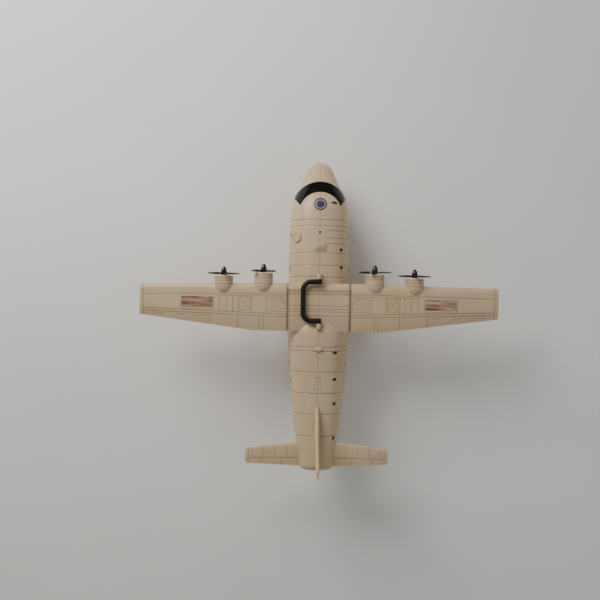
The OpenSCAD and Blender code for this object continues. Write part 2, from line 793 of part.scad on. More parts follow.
// Each side is flat to this share of the chord, then tapers to this share of the thickness
fin_flat = 0.55;
fin_tail = 0.25;
function round_top(v) = v > fin_h - 8 ? sqrt(1 - pow((v - fin_h + 8) / 8, 2)) : 1;
function fin_ring(v) =
    let (
        t = fin_t(v) * max(round_top(v), 0.15), te = fin_te(v),
        le = max(fin_le(v) - 9 * (1 - round_top(v)), fin_te(v) + 0.15 * fin_h)
    )
    [for (p = [[1, 0], [1, fin_tail], [fin_flat, 1], [0.2, 1], [0.08, 0.8], [0.02, 0.45], [0, 0]])
        [t * p[1], le + (te - le) * p[0], fin_z + v]];
module fin_half() {
    heights = [0.05, 4, 8, 12, 16, 22, 30, 38, 51, 67, 84, 100, 110, 113, 115.5, 117.3, 118];
    moulded() skin([for (v = heights) [for (p = fin_ring(v * fin_h / 118)) p]]);
    translate([0, 0, fin_z]) intersection() {
        union() {
            translate([0, py(peg_st), -14]) cylinder(r = peg_r, h = 14.4);
            translate([-3, py(tab_st[1]), -12]) cube([6, tab_st[1] - tab_st[0], 12.4]);
        }
        translate([0, -400, -40]) cube([40, 800, 80]);
    }
}
module fin_right_half() { color(sand) fin_half(); }
module fin_left_half() { color(sand) mirror([1, 0, 0]) fin_half(); }
// Round labels on the tapered rear of the fin's sides
fin_mark = [py(fin_st + 114), 52];
module fin_decals() {
    v = fin_mark[1];
    taper_l = (fin_le(v) - fin_te(v)) * (1 - fin_flat);
    slope = fin_t(v) * (1 - fin_tail) / taper_l;
    x = fin_t(v) * fin_tail + slope * (fin_mark[0] - fin_te(v)) + 0.25;
    color([0.25, 0.22, 0.3]) for (side = [-1, 1])
        translate([side * x, fin_mark[0], fin_z + v]) rotate([0, 90, -side * atan(slope)])
            cylinder(r = 8, h = 0.3, center = true);
}
module fin_socket() {
    color(sand) translate([0, py(peg_st), fin_z - 15]) difference() {
        cylinder(r = peg_r + 2.2, h = 15 - wall - 1.8);
        translate([0, 0, -1]) cylinder(r = peg_r + 0.2, h = 20);
    }
}
stab_st = [559, 609];
stab_z = 122;
stab_x = [37.5, stab_span / 2];
module stabiliser(mirrored) {
    tip_cut = [14, 4];
    function stab_ring(x, t, a, b) =
        [for (p = [[0, 0], [0.03, 0.5], [0.12, 0.85], [0.3, 1], [0.6, 0.85], [1, 0.3],
                   [1, -0.3], [0.6, -0.85], [0.3, -1], [0.12, -0.85], [0.03, -0.5]])
            [x, py(a) - (b - a) * p[0], stab_z + t * p[1]]];
    color(sand) mirror([mirrored ? 1 : 0, 0, 0]) moulded() difference() {
        skin([
            stab_ring(stab_x[0] - 6, 4.2, stab_st[0], stab_st[1]),
            stab_ring(stab_x[1] - 8, 2.8, stab_st[0] + tip_cut[0], stab_st[1] - tip_cut[1]),
            stab_ring(stab_x[1] - 2, 2.2, stab_st[0] + tip_cut[0] + 3, stab_st[1] - tip_cut[1] - 2),
            stab_ring(stab_x[1], 0.9, stab_st[0] + tip_cut[0] + 7, stab_st[1] - tip_cut[1] - 5)
        ]);
        fuselage_solid(0.02, 525, 615);
    }
}

// ---- Screws
module screw(l) {
    difference() {
        union() {
            cylinder(r = 2.4, h = 1.8, $fn = 32);
            translate([0, 0, -l]) cylinder(r = 1.2, h = l + 0.01, $fn = 24);
        }
        for (a = [0, 90]) rotate([0, 0, a]) translate([-1.6, -0.35, 1]) cube([3.2, 0.7, 2]);
    }
}
// Each sits at the bottom of its hole in the right half
module fuselage_screws() {
    color(steel) at_screws() translate([0, 0, screw_seat]) screw(screw_reach - 1);
}
module wing_screws() {
    color(steel) for (m = [0, 1]) mirror([m, 0, 0]) at_wing_screws() screw(4);
}

fuselage_left();
fuselage_right();
windscreen();
nose_emblem();
top_hatch();
antenna_blister();
wing_top(true);  // wing_left_top
wing_bottom(true);  // wing_left_bottom
wing_top(false);  // wing_right_top
wing_bottom(false);  // wing_right_bottom
wing_decal(true);  // wing_left_decal
wing_decal(false);  // wing_right_decal
for (i = [0 : 3]) {
    cowl(i);
    propeller(i);
    main_wheel(i);
}
propeller_pins();
carry_handle();
handle_bracket_front();
handle_bracket_rear();
handle_pins();
sound_button();
button_spring();
button_guide();
circuit_board();
speaker();
battery_box();
battery_door();
battery_cells();
cockpit_lamp();
cargo_ramp();
ramp_hinge_pins();
ramp_hinge_blocks();
cargo_floor();
bulkhead();
nose_gear_leg();
nose_wheel(-1);  // nose_wheel_left
nose_wheel(1);  // nose_wheel_right
nose_axle();
sponson(true);  // sponson_left
sponson(false);  // sponson_right
main_wheel_pins();
fin_left_half();
fin_right_half();
fin_decals();
fin_socket();
stabiliser(true);  // stabiliser_left
stabiliser(false);  // stabiliser_right
fuselage_screws();
wing_screws();
battery_door_screw();
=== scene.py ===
"""Looks of a toy four-engine cargo airplane in sand-coloured moulded plastic.

Shapes are worked out in millimetres in the part's own frame: +Z up, +Y out of the nose, +X along
the right wing. A station is the distance behind a datum in the nose, 16 mm behind its tip.
"""
import json
import math

import bmesh
import bpy
import numpy as np
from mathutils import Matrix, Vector


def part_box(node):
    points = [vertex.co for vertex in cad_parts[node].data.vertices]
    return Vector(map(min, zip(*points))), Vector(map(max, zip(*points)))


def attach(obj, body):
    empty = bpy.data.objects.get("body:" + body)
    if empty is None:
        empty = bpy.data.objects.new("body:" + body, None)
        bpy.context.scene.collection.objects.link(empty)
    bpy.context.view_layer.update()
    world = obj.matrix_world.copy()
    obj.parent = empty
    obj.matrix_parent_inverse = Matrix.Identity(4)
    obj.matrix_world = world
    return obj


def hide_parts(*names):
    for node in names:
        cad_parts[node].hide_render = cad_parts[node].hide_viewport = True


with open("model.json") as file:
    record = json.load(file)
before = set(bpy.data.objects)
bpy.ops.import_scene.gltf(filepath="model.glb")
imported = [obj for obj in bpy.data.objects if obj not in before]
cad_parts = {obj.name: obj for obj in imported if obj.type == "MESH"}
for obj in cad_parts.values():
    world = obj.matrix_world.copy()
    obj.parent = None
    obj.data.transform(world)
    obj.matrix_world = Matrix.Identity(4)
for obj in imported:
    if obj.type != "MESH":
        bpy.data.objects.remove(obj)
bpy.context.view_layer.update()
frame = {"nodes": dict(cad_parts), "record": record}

MM = 0.001
NOSE_ST = -16.0  # station of the nose's tip
HALF_L = 299.5  # Y of station 0
BELLY_Z = 17.0  # height of the belly's lowest line above the floor
WALL = 2.0  # thickness of every moulded skin
SPLIT_Z = 136.0  # height where the wing's upper and lower shells meet
NAC_Z = 133.0  # height of the propeller shafts
NAC_R = 19.0
LE_ST = 239.5  # leading edge at the wing's root
CHORD = 96.5
ROOT_X, BREAK_X, TIP_X = 63.5, 131.0, 360.0
LINES_ST = 243.0  # the wing's engraved lines are measured from here
ENGINES = (112.0, 192.0)


def y_at(station):
    return HALF_L - station


# ---------------------------------------------------------------- camera
VIEW_H = 1.6  # distance from the camera down to the plane of the wing's top
VIEW_W = 1.2  # width of that plane in the picture
WING_TOP = 0.143
AIM = (-0.0376, 0.0265)  # point in the middle of the picture, to its right and up
ROLL = math.radians(0.95)
SENSOR = 36


def make_camera():
    right = np.array([math.cos(ROLL), math.sin(ROLL)])
    up = np.array([-math.sin(ROLL), math.cos(ROLL)])
    centre = AIM[0] * right + AIM[1] * up
    cam = bpy.data.cameras.new("camera")
    cam.sensor_width = SENSOR
    cam.lens = SENSOR * VIEW_H / VIEW_W
    obj = bpy.data.objects.new("camera", cam)
    obj.location = (centre[0], centre[1], WING_TOP + VIEW_H)
    obj.rotation_euler = (0, 0, ROLL)
    bpy.context.collection.objects.link(obj)
    bpy.context.scene.camera = obj


make_camera()


# ---------------------------------------------------------------- node materials
class Shader:
    """Small helper that adds and joins nodes of one material."""

    def __init__(self, name):
        self.material = bpy.data.materials.new(name)
        self.material.use_nodes = True
        self.nodes = self.material.node_tree.nodes
        self.links = self.material.node_tree.links
        self.bsdf = self.nodes["Principled BSDF"]
        self.coords = self.add("ShaderNodeTexCoord").outputs["Object"]

    def add(self, kind, **settings):
        node = self.nodes.new(kind)
        for key, value in settings.items():
            setattr(node, key, value)
        return node

    def link(self, a, b):
        self.links.new(a, b)

    def noise(self, scale, detail=3.0, rough=0.55, stretch=None):
        tex = self.add("ShaderNodeTexNoise")
        tex.inputs["Scale"].default_value = scale
        tex.inputs["Detail"].default_value = detail
        tex.inputs["Roughness"].default_value = rough
        source = self.coords
        if stretch:
            mapping = self.add("ShaderNodeMapping")
            mapping.inputs["Scale"].default_value = stretch
            self.link(source, mapping.inputs["Vector"])
            source = mapping.outputs["Vector"]
        self.link(source, tex.inputs["Vector"])
        return tex.outputs["Fac"]

    def ramp(self, fac, stops):
        node = self.add("ShaderNodeValToRGB")
        ramp = node.color_ramp
        while len(ramp.elements) < len(stops):
            ramp.elements.new(0.5)
        for element, (at, colour) in zip(ramp.elements, stops):
            element.position = at
            element.color = (*colour, 1)
        self.link(fac, node.inputs["Fac"])
        return node.outputs["Color"]

    def span(self, fac, low, high, a=0.3, b=0.7):
        node = self.add("ShaderNodeMapRange")
        node.inputs["From Min"].default_value = a
        node.inputs["From Max"].default_value = b
        node.inputs["To Min"].default_value = low
        node.inputs["To Max"].default_value = high
        self.link(fac, node.inputs["Value"])
        return node.outputs["Result"]

    def mix(self, fac, a, b, mode="MIX"):
        node = self.add("ShaderNodeMix", data_type="RGBA", blend_type=mode)
        for socket, value in ((node.inputs[0], fac), (node.inputs[6], a), (node.inputs[7], b)):
            if isinstance(value, bpy.types.NodeSocket):
                self.link(value, socket)
            elif isinstance(value, (int, float)):
                socket.default_value = value
            else:
                socket.default_value = (*value, 1)
        return node.outputs[2]

    def attribute(self, name):
        return self.add("ShaderNodeAttribute", attribute_name=name).outputs["Fac"]

    def math(self, op, a, b=0.0, c=None):
        node = self.add("ShaderNodeMath", operation=op)
        for socket, value in zip(node.inputs, (a, b, c)):
            if value is None:
                continue
            if isinstance(value, bpy.types.NodeSocket):
                self.link(value, socket)
            else:
                socket.default_value = value
        return node.outputs[0]

    def bump(self, height, distance, strength=1.0):
        node = self.add("ShaderNodeBump")
        node.inputs["Distance"].default_value = distance
        node.inputs["Strength"].default_value = strength
        self.link(height, node.inputs["Height"])
        self.link(node.outputs["Normal"], self.bsdf.inputs["Normal"])

    def finish(self, colour=None, rough=None, **fixed):
        if colour is not None:
            self.link(colour, self.bsdf.inputs["Base Color"])
        if rough is not None:
            self.link(rough, self.bsdf.inputs["Roughness"])
        for key, value in fixed.items():
            self.bsdf.inputs[key.replace("_", " ")].default_value = value
        return self.material


def srgb(r, g, b):
    def linear(v):
        v /= 255
        return v / 12.92 if v <= 0.04045 else ((v + 0.055) / 1.055) ** 2.4
    return tuple(linear(v) for v in (r, g, b))


def moulded(name, light, dark, groove, rough=(0.36, 0.46), grain=0.00006):
    """Moulded plastic: faint flow clouds, fine texture, and painted shade with some grime in the engraved
    lines.
    """
    s = Shader(name)
    clouds = s.noise(9, 4, 0.5)
    flow = s.noise(34, 5, 0.6, stretch=(1, 0.35, 1))
    tone = s.math("MULTIPLY_ADD", flow, 0.4, s.math("MULTIPLY", clouds, 0.6))
    body = s.ramp(tone, [(0.32, dark), (0.68, light)])
    speck = s.span(s.noise(700, 2), 0.0, 0.10, 0.62, 0.75)
    body = s.mix(speck, body, dark)
    # painted shade with some grime: the groove attribute darkens the engraved lines
    line_shaded = s.mix(s.math("MULTIPLY", s.attribute("groove"), 0.85), body, groove)
    # painted shade: holes whose groove value is above 1 turn near black
    line_shaded = s.mix(s.span(s.attribute("groove"), 0.0, 0.97, 1.0, 1.8), line_shaded, srgb(12, 10, 9))
    wear = s.span(s.noise(55, 3), rough[0], rough[1])
    s.bump(s.noise(1900, 2, 0.5), grain, 0.6)
    return s.finish(line_shaded, wear, Specular_IOR_Level=0.5)


def dark_plastic(name, colour, tint, rough, coat=0.0, gloss=0.5, grain=0.00004, scale=900):
    s = Shader(name)
    base = s.ramp(s.noise(26, 4), [(0.35, colour), (0.7, tint)])
    dust = s.span(s.noise(380, 3), 0.0, 0.12, 0.6, 0.72)
    base = s.mix(dust, base, tuple(min(1, 3 * c + 0.02) for c in tint))
    s.bump(s.noise(scale, 2, 0.5), grain, 0.5)
    return s.finish(base, s.span(s.noise(70, 3), rough[0], rough[1]), Coat_Weight=coat,
                    Coat_Roughness=0.08, Specular_IOR_Level=gloss)


def metal(name, colour, tint, rough=(0.22, 0.38)):
    s = Shader(name)
    base = s.ramp(s.noise(60, 4, stretch=(1, 1, 6)), [(0.3, colour), (0.7, tint)])
    s.bump(s.noise(1500, 2), 0.00002, 0.4)
    return s.finish(base, s.span(s.noise(90, 3), rough[0], rough[1]), Metallic=1.0)


SAND = moulded("sand_plastic", srgb(211, 186, 150), srgb(198, 172, 135), srgb(84, 66, 48),
               rough=(0.27, 0.36))
# darker copy of the sand plastic for the shell's inside faces: painted shade
SAND_INSIDE_SHADED = moulded("sand_inner_shaded", srgb(176, 156, 128), srgb(160, 140, 114), srgb(80, 66, 50),
                     rough=(0.5, 0.62))
HANDLE = dark_plastic("black_handle", srgb(20, 16, 16), srgb(28, 23, 22), (0.34, 0.46), gloss=0.3)
PROP = dark_plastic("black_propeller", srgb(14, 13, 13), srgb(20, 19, 18), (0.16, 0.26), coat=0.3)
GLOSS = dark_plastic("windscreen_black", srgb(6, 6, 8), srgb(11, 11, 13), (0.1, 0.16),
                     gloss=0.22, grain=0.00001, scale=300)
TYRE = dark_plastic("wheel_black", srgb(30, 28, 27), srgb(40, 38, 36), (0.5, 0.62))
INNER_BLACK = dark_plastic("inner_black", srgb(34, 34, 36), srgb(44, 44, 46), (0.42, 0.55))
STEEL = metal("steel", srgb(196, 196, 198), srgb(160, 160, 164))


# ---------------------------------------------------------------- mesh building
class Piece:
    """Collects points, faces and a groove value for one visible piece."""

    def __init__(self):
        self.points = []
        self.groove = []
        self.faces = []
        self.slots = []
        self.count = 0

    def add(self, points, faces, groove=None, slot=0):
        points = np.asarray(points, float).reshape(-1, 3)
        faces = [[i + self.count for i in f] for f in faces]
        self.points.append(points)
        self.groove.append(np.zeros(len(points)) if groove is None else np.ravel(groove))
        self.faces += faces
        self.slots += [slot] * len(faces)
        self.count += len(points)

    def grid(self, points, groove=None, wrap=False, flip=False):
        self.add(points, grid_faces(*points.shape[:2], wrap, flip), groove)

    def cap(self, ring, flip=False):
        order = list(range(len(ring)))
        self.add(ring, [order[::-1] if flip else order])

    def join(self, a, b, edges):
        """Walls between the same edges of two grids."""
        for edge in edges:
            self.grid(np.stack([a[edge], b[edge]]))

    def build(self, name, materials, body, node=None, sharp=38, mirror=False,
              weld=0.0):
        points = np.concatenate(self.points) * MM
        if mirror:
            points = points * [-1, 1, 1]
        mesh = bpy.data.meshes.new(name)
        mesh.from_pydata(points.tolist(), [], self.faces)
        mesh.attributes.new("groove", "FLOAT", "POINT").data.foreach_set(
            "value", np.concatenate(self.groove).astype(np.float32))
        for material in materials:
            mesh.materials.append(material)
        if len(materials) > 1:
            mesh.polygons.foreach_set("material_index", self.slots)
        bm = bmesh.new()
        bm.from_mesh(mesh)
        if weld:
            bmesh.ops.remove_doubles(bm, verts=bm.verts, dist=weld * MM)
        loose = [v for v in bm.verts if not v.link_faces]
        bmesh.ops.delete(bm, geom=loose, context="VERTS")
        bmesh.ops.recalc_face_normals(bm, faces=bm.faces)
        bm.to_mesh(mesh)
        bm.free()
        mesh.shade_smooth()
        mesh.set_sharp_from_angle(angle=math.radians(sharp))
        obj = bpy.data.objects.new(name, mesh)
        bpy.context.collection.objects.link(obj)
        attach(obj, body)
        if node:
            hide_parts(*([node] if isinstance(node, str) else node))
        return obj


FRONT, BACK, INNER, OUTER = np.s_[0], np.s_[-1], np.s_[:, 0], np.s_[:, -1]


def grid_faces(rows, cols, wrap=False, flip=False):
    c = cols if wrap else cols - 1
    j, i = np.meshgrid(np.arange(rows - 1), np.arange(c), indexing="ij")
    k = (i + 1) % cols
    quads = np.stack([j * cols + i, j * cols + k, (j + 1) * cols + k, (j + 1) * cols + i], -1)
    quads = quads.reshape(-1, 4)
    if flip:
        quads = quads[:, ::-1]
    return quads.tolist()


def triangles(faces):
    out = []
    for f in faces:
        out += [[f[0], f[i], f[i + 1]] for i in range(1, len(f) - 1)]
    return np.array(out)


def clip(points, groove, faces, inside):
    """Keeps the part of a mesh where inside is positive. Also returns the cut's edges."""
    tris = triangles(faces)
    pos = inside >= 0
    count = pos[tris].sum(1)
    kept = tris[count == 3].tolist()
    points, groove = list(points), list(groove)
    made = {}

    def crossing(a, b):
        key = (min(a, b), max(a, b))
        if key not in made:
            t = inside[a] / (inside[a] - inside[b])
            made[key] = len(points)
            points.append(points[a] + (points[b] - points[a]) * t)
            groove.append(groove[a] + (groove[b] - groove[a]) * t)
        return made[key]

    edges = []
    for tri in tris[(count > 0) & (count < 3)]:
        a, b, c = tri
        while not (pos[a] and not pos[c]):
            a, b, c = b, c, a
        if pos[b]:
            p, q = crossing(b, c), crossing(c, a)
            kept += [[a, b, p], [a, p, q]]
        else:
            p, q = crossing(a, b), crossing(c, a)
            kept += [[a, p, q]]
        edges.append((p, q))
    return np.array(points), np.array(groove), kept, edges


def add_rim(points, groove, faces, edges, offset, shade=None):
    """Walls from a cut's edges to the same points moved by offset, which gives a vector each."""
    used = sorted({i for e in edges for i in e})
    moved = {i: len(points) + n for n, i in enumerate(used)}
    extra = np.array([points[i] + offset(points[i]) for i in used]).reshape(-1, 3)
    # shade paints the cut's edge points dark: painted shade in the hole
    if shade is not None:
        groove[used] = shade
    points = np.concatenate([points, extra]) if used else points
    groove = np.concatenate([groove, np.array([groove[i] for i in used])]) if used else groove
    faces = faces + [[b, a, moved[a], moved[b]] for a, b in edges]
    return points, groove, faces


def compact(points, groove, faces):
    used = np.unique(np.concatenate([np.ravel(f) for f in faces])).astype(int)
    index = np.full(len(points), -1)
    index[used] = np.arange(len(used))
    return points[used], groove[used], [[int(index[i]) for i in f] for f in faces]


def tri_line(distance, width, depth):
    """Depth of an engraved line whose middle is at distance 0."""
    return depth * np.clip(1.15 - np.abs(distance) / width, 0, 1)


def band(value, low, high, soft=0.8):
    return np.clip((value - low) / soft, 0, 1) * np.clip((high - value) / soft, 0, 1)


def box_line(u, v, u0, u1, v0, v1, width, depth, corner=3.0):
    """Engraved outline of a rectangle with rounded corners."""
    cu, cv = (u0 + u1) / 2, (v0 + v1) / 2
    du = np.abs(u - cu) - (u1 - u0) / 2 + corner
    dv = np.abs(v - cv) - (v1 - v0) / 2 + corner
    outside = np.hypot(np.maximum(du, 0), np.maximum(dv, 0)) + np.minimum(np.maximum(du, dv), 0)
    return tri_line(outside - corner, width, depth)


def segment_line(x, y, x0, y0, x1, y1, width, depth):
    dx, dy = x1 - x0, y1 - y0
    t = np.clip(((x - x0) * dx + (y - y0) * dy) / (dx * dx + dy * dy), 0, 1)
    return tri_line(np.hypot(x - x0 - t * dx, y - y0 - t * dy), width, depth)


FULL_DEPTH = 0.45  # a line of this depth gets the full painted shade and grime


def engrave(points, depth, outward):
    """Moves a grid inwards by depth. Returns the grid and how much painted shade each point's line gets.
    """
    n = np.cross(np.gradient(points, axis=1), np.gradient(points, axis=0))
    n = n / np.maximum(np.linalg.norm(n, axis=-1, keepdims=True), 1e-9)
    sign = np.sign((n * outward).sum(-1, keepdims=True))
    return points - n * sign * depth[..., None], np.clip(depth / FULL_DEPTH, 0, 1)


# ---------------------------------------------------------------- fuselage lines
LINES = np.array([
    [0, 0, 64, 47], [3, 11, 73, 39], [10, 20, 83.5, 31], [20, 26.5, 92, 24], [33, 32.5, 101, 17.5],
    [42, 36.5, 107.5, 14], [58, 43.5, 117.5, 9.5], [76, 52, 127.5, 6], [96, 57.5, 136.5, 3],
    [136, 60.7, 142, 1], [196, 62, 143.5, 0], [259, 62, 143.5, 0], [316, 62, 141, 0],
    [334, 62, 144, 0], [356, 61.5, 150, 0], [391, 61, 149.5, 0], [441, 58, 146, 1],
    [476, 54.4, 144, 11], [516, 49.6, 143, 29], [566, 42.8, 143, 51], [616, 36, 143, 71],
    [626, 34, 141.5, 75], [631, 28, 136, 82]],
    float)


def curve(station, column):
    keys, values = np.sqrt(LINES[:, 0]), LINES[:, column]
    lo = np.maximum(np.arange(len(keys)) - 1, 0)
    hi = np.minimum(np.arange(len(keys)) + 1, len(keys) - 1)
    tangent = (values[hi] - values[lo]) / (keys[hi] - keys[lo])
    k = np.sqrt(np.clip(np.asarray(station) - NOSE_ST, 0, LINES[-1, 0]))
    i = np.clip(np.searchsorted(keys, k, side="right") - 1, 0, len(keys) - 2)
    h = keys[i + 1] - keys[i]
    t = (k - keys[i]) / h
    u = 1 - t
    return (u * u * (1 + 2 * t) * values[i] + t * u * u * h * tangent[i]
            + t * t * (3 - 2 * t) * values[i + 1] - t * t * u * h * tangent[i + 1])


def half_w(station):
    return curve(station, 1)


def crown(station):
    return curve(station, 2)


def belly(station):
    return BELLY_Z + curve(station, 3)


UP_N, LOW_N = 2.3, 3.2


def skin_z(station, x):
    mid = (crown(station) + belly(station)) / 2
    share = np.clip(np.abs(x) / half_w(station), 0, 1)
    return mid + (crown(station) - mid) * (1 - share ** UP_N) ** (1 / UP_N)


def half_section(station, grow):
    """Right half of a section, from the middle of the belly round to the crown: 600 points."""
    a = np.radians(np.linspace(-90, 90, 601))
    w = max(half_w(station) + grow, 0.4)
    mid = (crown(station) + belly(station)) / 2
    up = max(crown(station) + grow - mid, 0.4)
    down = max(mid - belly(station) + grow, 0.4)
    blend = min(1, (station - NOSE_ST) / 96)
    n = np.where(a >= 0, 2 + (UP_N - 2) * blend, 2 + (LOW_N - 2) * blend)
    cos, sin = np.clip(np.cos(a), 0, 1), np.sin(a)
    x = w * cos ** (2 / n)
    z = mid + np.where(a >= 0, up, down) * np.sign(sin) * np.abs(sin) ** (2 / n)
    return x, z


RAMP_ST = (440.0, 574.0)
RAMP_HALF = 30.0
BAY = (436.4, 575.7, 30.6)  # opening that the ramp closes


def fuselage_grid(rows, low, high, grow=0.0):
    """Grid of the right half's skin. Column number low runs along the ramp opening's side."""
    out = np.zeros((len(rows), low + high + 1, 3))
    for r, station in enumerate(rows):
        x, z = half_section(station, grow)
        s = np.concatenate([[0], np.cumsum(np.hypot(np.diff(x), np.diff(z)))])
        side = min(BAY[2], 0.62 * half_w(station))
        turn = s[np.searchsorted(x[:300], side)] if side > 0.5 else 0.2 * s[-1]
        at = np.concatenate([np.linspace(0, turn, low + 1)[:-1], np.linspace(turn, s[-1], high + 1)])
        out[r, :, 0] = np.interp(at, s, x)
        out[r, :, 1] = y_at(station)
        out[r, :, 2] = np.interp(at, s, z)
        out[r, 0, 0] = out[r, -1, 0] = 0
    return out


def outward_of(points):
    station = HALF_L - points[..., 1]
    mid = (crown(station) + belly(station)) / 2
    out = points.copy()
    out[..., 1] = 0
    out[..., 2] -= mid
    return out


def to_middle(p):
    """A wall's thickness from a point of the skin towards the fuselage's middle."""
    v = -outward_of(p[None])[0]
    return WALL * v / max(np.linalg.norm(v), 1e-6)


RINGS = (111.8, 124.2, 178.8, 203.8, 227.0, 367.2, 375.5, 417.2, 460.2, 502.0, 545.8)
RINGS_RIGHT = (134.0, 148.5, 160.0)
RINGS_ROUND = (124.2, 227.0, 375.5, 460.2)
SCREWS = ((26, 77), (41.8, 171.4), (42.6, 207), (31.6, 378), (31.6, 432), (31.6, 481), (32, 550.6))


def fuselage_depth(points, left):
    """Engraved lines of one half: seam, frames, doors and windows."""
    x, station, z = points[..., 0], HALF_L - points[..., 1], points[..., 2]
    top = np.clip((z - 74) / 6, 0, 1)
    depth = tri_line(x, 0.6, 0.22) * np.clip((station - NOSE_ST - 3) / 6, 0, 1)
    for ring in RINGS + (() if left else RINGS_RIGHT):
        reach = 1.0 if ring in RINGS_ROUND else top
        if ring in RINGS_RIGHT:
            reach = band(x, 14, 80)
        depth = np.maximum(depth, tri_line(station - ring, 0.8, 0.42) * reach)
    side = band(x / half_w(np.maximum(station, 1)), 0.86, 2, 0.04)
    depth = np.maximum(depth, tri_line(z - 62, 0.7, 0.4) * band(station, 124.2, 460.2) * side)
    if left:
        depth = np.maximum(depth, box_line(station, z, 96, 119, 34, 84, 0.8, 0.5) * side)
        depth = np.maximum(depth, 1.3 * band(station, 180, 197, 1.2) * band(z, 93, 97, 1.2) * side)
    depth = np.maximum(depth, box_line(station, z, 388, 416, 44, 98, 0.8, 0.5) * side)
    for window in (142, 212, 402, 440):
        ring = np.hypot(station - window, z - 104)
        depth = np.maximum(depth, tri_line(ring - 5.2, 0.8, 0.45) * side)
        depth = np.maximum(depth, 0.5 * np.clip(4.4 - ring, 0, 1) * side)
    ladder = band(station, 424, 456) * (z > 120)
    depth = np.maximum(depth, tri_line(x - 6.5, 0.6, 0.3) * ladder)
    rungs = tri_line((station - 424) % 8 - 4, 0.6, 0.3) * band(x, -1, 6.5)
    depth = np.maximum(depth, rungs * ladder)
    hatch = box_line(station, x, 520, 538, -9, 9, 0.7, 0.35, corner=2) * (z > 120)
    return np.maximum(depth, hatch)


# Windscreen outline: inside the outer circle, outside the inner one, ahead of a bent line.
# Each circle has the Y of its middle and its radius.
WS_OUT = (y_at(93.5), 62.0)
WS_IN = (y_at(98.0), 44.0)


def windscreen_field(points):
    x, y, z = np.abs(points[:, 0]), points[:, 1], points[:, 2]
    edge = y_at(86.5) + np.interp(x, [0, 30, 41, 70], [-40, -10, 5, 44])
    slope = np.interp(x, [0, 30, 41, 70], [1.0, 1.3, 1.35, 1.35])
    return np.minimum.reduce([
        WS_OUT[1] - np.hypot(x, y - WS_OUT[0]), np.hypot(x, y - WS_IN[0]) - WS_IN[1],
        (y - edge) / np.hypot(1, slope), z - 84])


def hole_field(y0, z0, radius):
    """Positive outside a hole bored along X on the right side."""
    def field(p):
        return np.where(p[:, 0] > 8, np.hypot(p[:, 1] - y0, p[:, 2] - z0) - radius, 9)
    return field


BUTTON_ST, BUTTON_X, BUTTON_R = 146.6, 45.6, 11.0
BUTTON_AT = np.array([BUTTON_X, y_at(BUTTON_ST), float(skin_z(BUTTON_ST, BUTTON_X))])
BUTTON_AXIS = np.array([1, 0, 1]) / math.sqrt(2)
PEG_ST, PEG_R = 501.0, 7.8
TAB_ST = (571.6, 592.6)


def axis_distance(p, origin, axis):
    rel = p - origin
    return np.linalg.norm(rel - np.outer(rel @ axis, axis), axis=1)


def fuselage_cuts(left):
    """Rows of a field that is positive where the skin stays, and the way its walls run in."""
    def down(depth):
        return lambda p: np.array([0, 0, -depth])

    cuts = [
        (lambda p: -0.1 - windscreen_field(p), to_middle),
        (lambda p: np.maximum.reduce([
            p[:, 0] - BAY[2], np.abs(p[:, 1] - y_at((BAY[0] + BAY[1]) / 2)) - (BAY[1] - BAY[0]) / 2,
            np.where(p[:, 2] > 100, 9, -9)]), lambda p: np.array([0, 0, WALL])),
        (lambda p: np.where(p[:, 2] > 120, np.hypot(p[:, 0], p[:, 1] - y_at(PEG_ST)) - PEG_R - 0.3, 9),
         down(12)),
        (lambda p: np.where(p[:, 2] > 120, np.maximum(
            p[:, 0] - 3.3, np.abs(p[:, 1] - y_at(sum(TAB_ST) / 2)) - 10.8), 9), down(6)),
        # the 2.0 gives this hole's edge near-black painted shade
        (lambda p: np.where(p[:, 2] > 120, np.hypot(p[:, 0], p[:, 1] - y_at(137.6)) - 2.0, 9),
         down(5), 2.0),
    ]
    if left:
        cuts.append((lambda p: np.where(p[:, 2] > 90,
                                        axis_distance(p, BUTTON_AT, BUTTON_AXIS) - BUTTON_R - 0.3, 9),
                     lambda p: -3 * BUTTON_AXIS))
    else:
        for x, station in SCREWS:
            field = hole_field(y_at(station), float(skin_z(station, x)) - 1.5, 2.6)
            # the 2.0 gives each screw hole's edge near-black painted shade
            cuts.append((field, lambda p: np.array([8.0 - p[0], 0, 0]), 2.0))
    return cuts


def station_rows(step, low=NOSE_ST + 0.35, high=615.0, extra=()):
    """Stations at a regular step, closer at each engraved line."""
    marks = [r + d for r in RINGS + RINGS_RIGHT for d in (-0.95, -0.45, 0, 0.45, 0.95)]
    marks += [BAY[0], BAY[1], *extra]
    regular = [s for s in np.arange(15, high - 6, step) if min(abs(s - m) for m in marks) > 0.8]
    nose = NOSE_ST + 31 * np.linspace(0, 1, 23)[1:-1] ** 2
    ends = [low, *[s for s in nose if s > low + 0.1], *(high - 6 * np.linspace(1, 0, 9) ** 1.6)]
    return np.array(sorted({round(float(s), 3) for s in regular + marks + ends if low <= s <= high}))


# ---------------------------------------------------------------- wing
UPPER_H, LOWER_H = (10.0, 7.0), (8.0, 5.0)
NAC_FRONT = (20.5, 15.5)


def reach(x):
    return np.clip((x - ROOT_X) / (TIP_X - ROOT_X), 0, 1)


def tip_round(x, size=3.0):
    return np.sqrt(np.clip(1 - (np.maximum(x - TIP_X + size, 0) / size) ** 2, 0.0, 1))


def le_y(x):
    return y_at(LE_ST) - 5 * reach(x) - 3.5 * (1 - tip_round(x))


def te_y(x):
    t = np.maximum(0, (x - BREAK_X) / (TIP_X - BREAK_X))
    return y_at(LE_ST + CHORD) + 29.5 * t + 2.5 * (1 - tip_round(x))


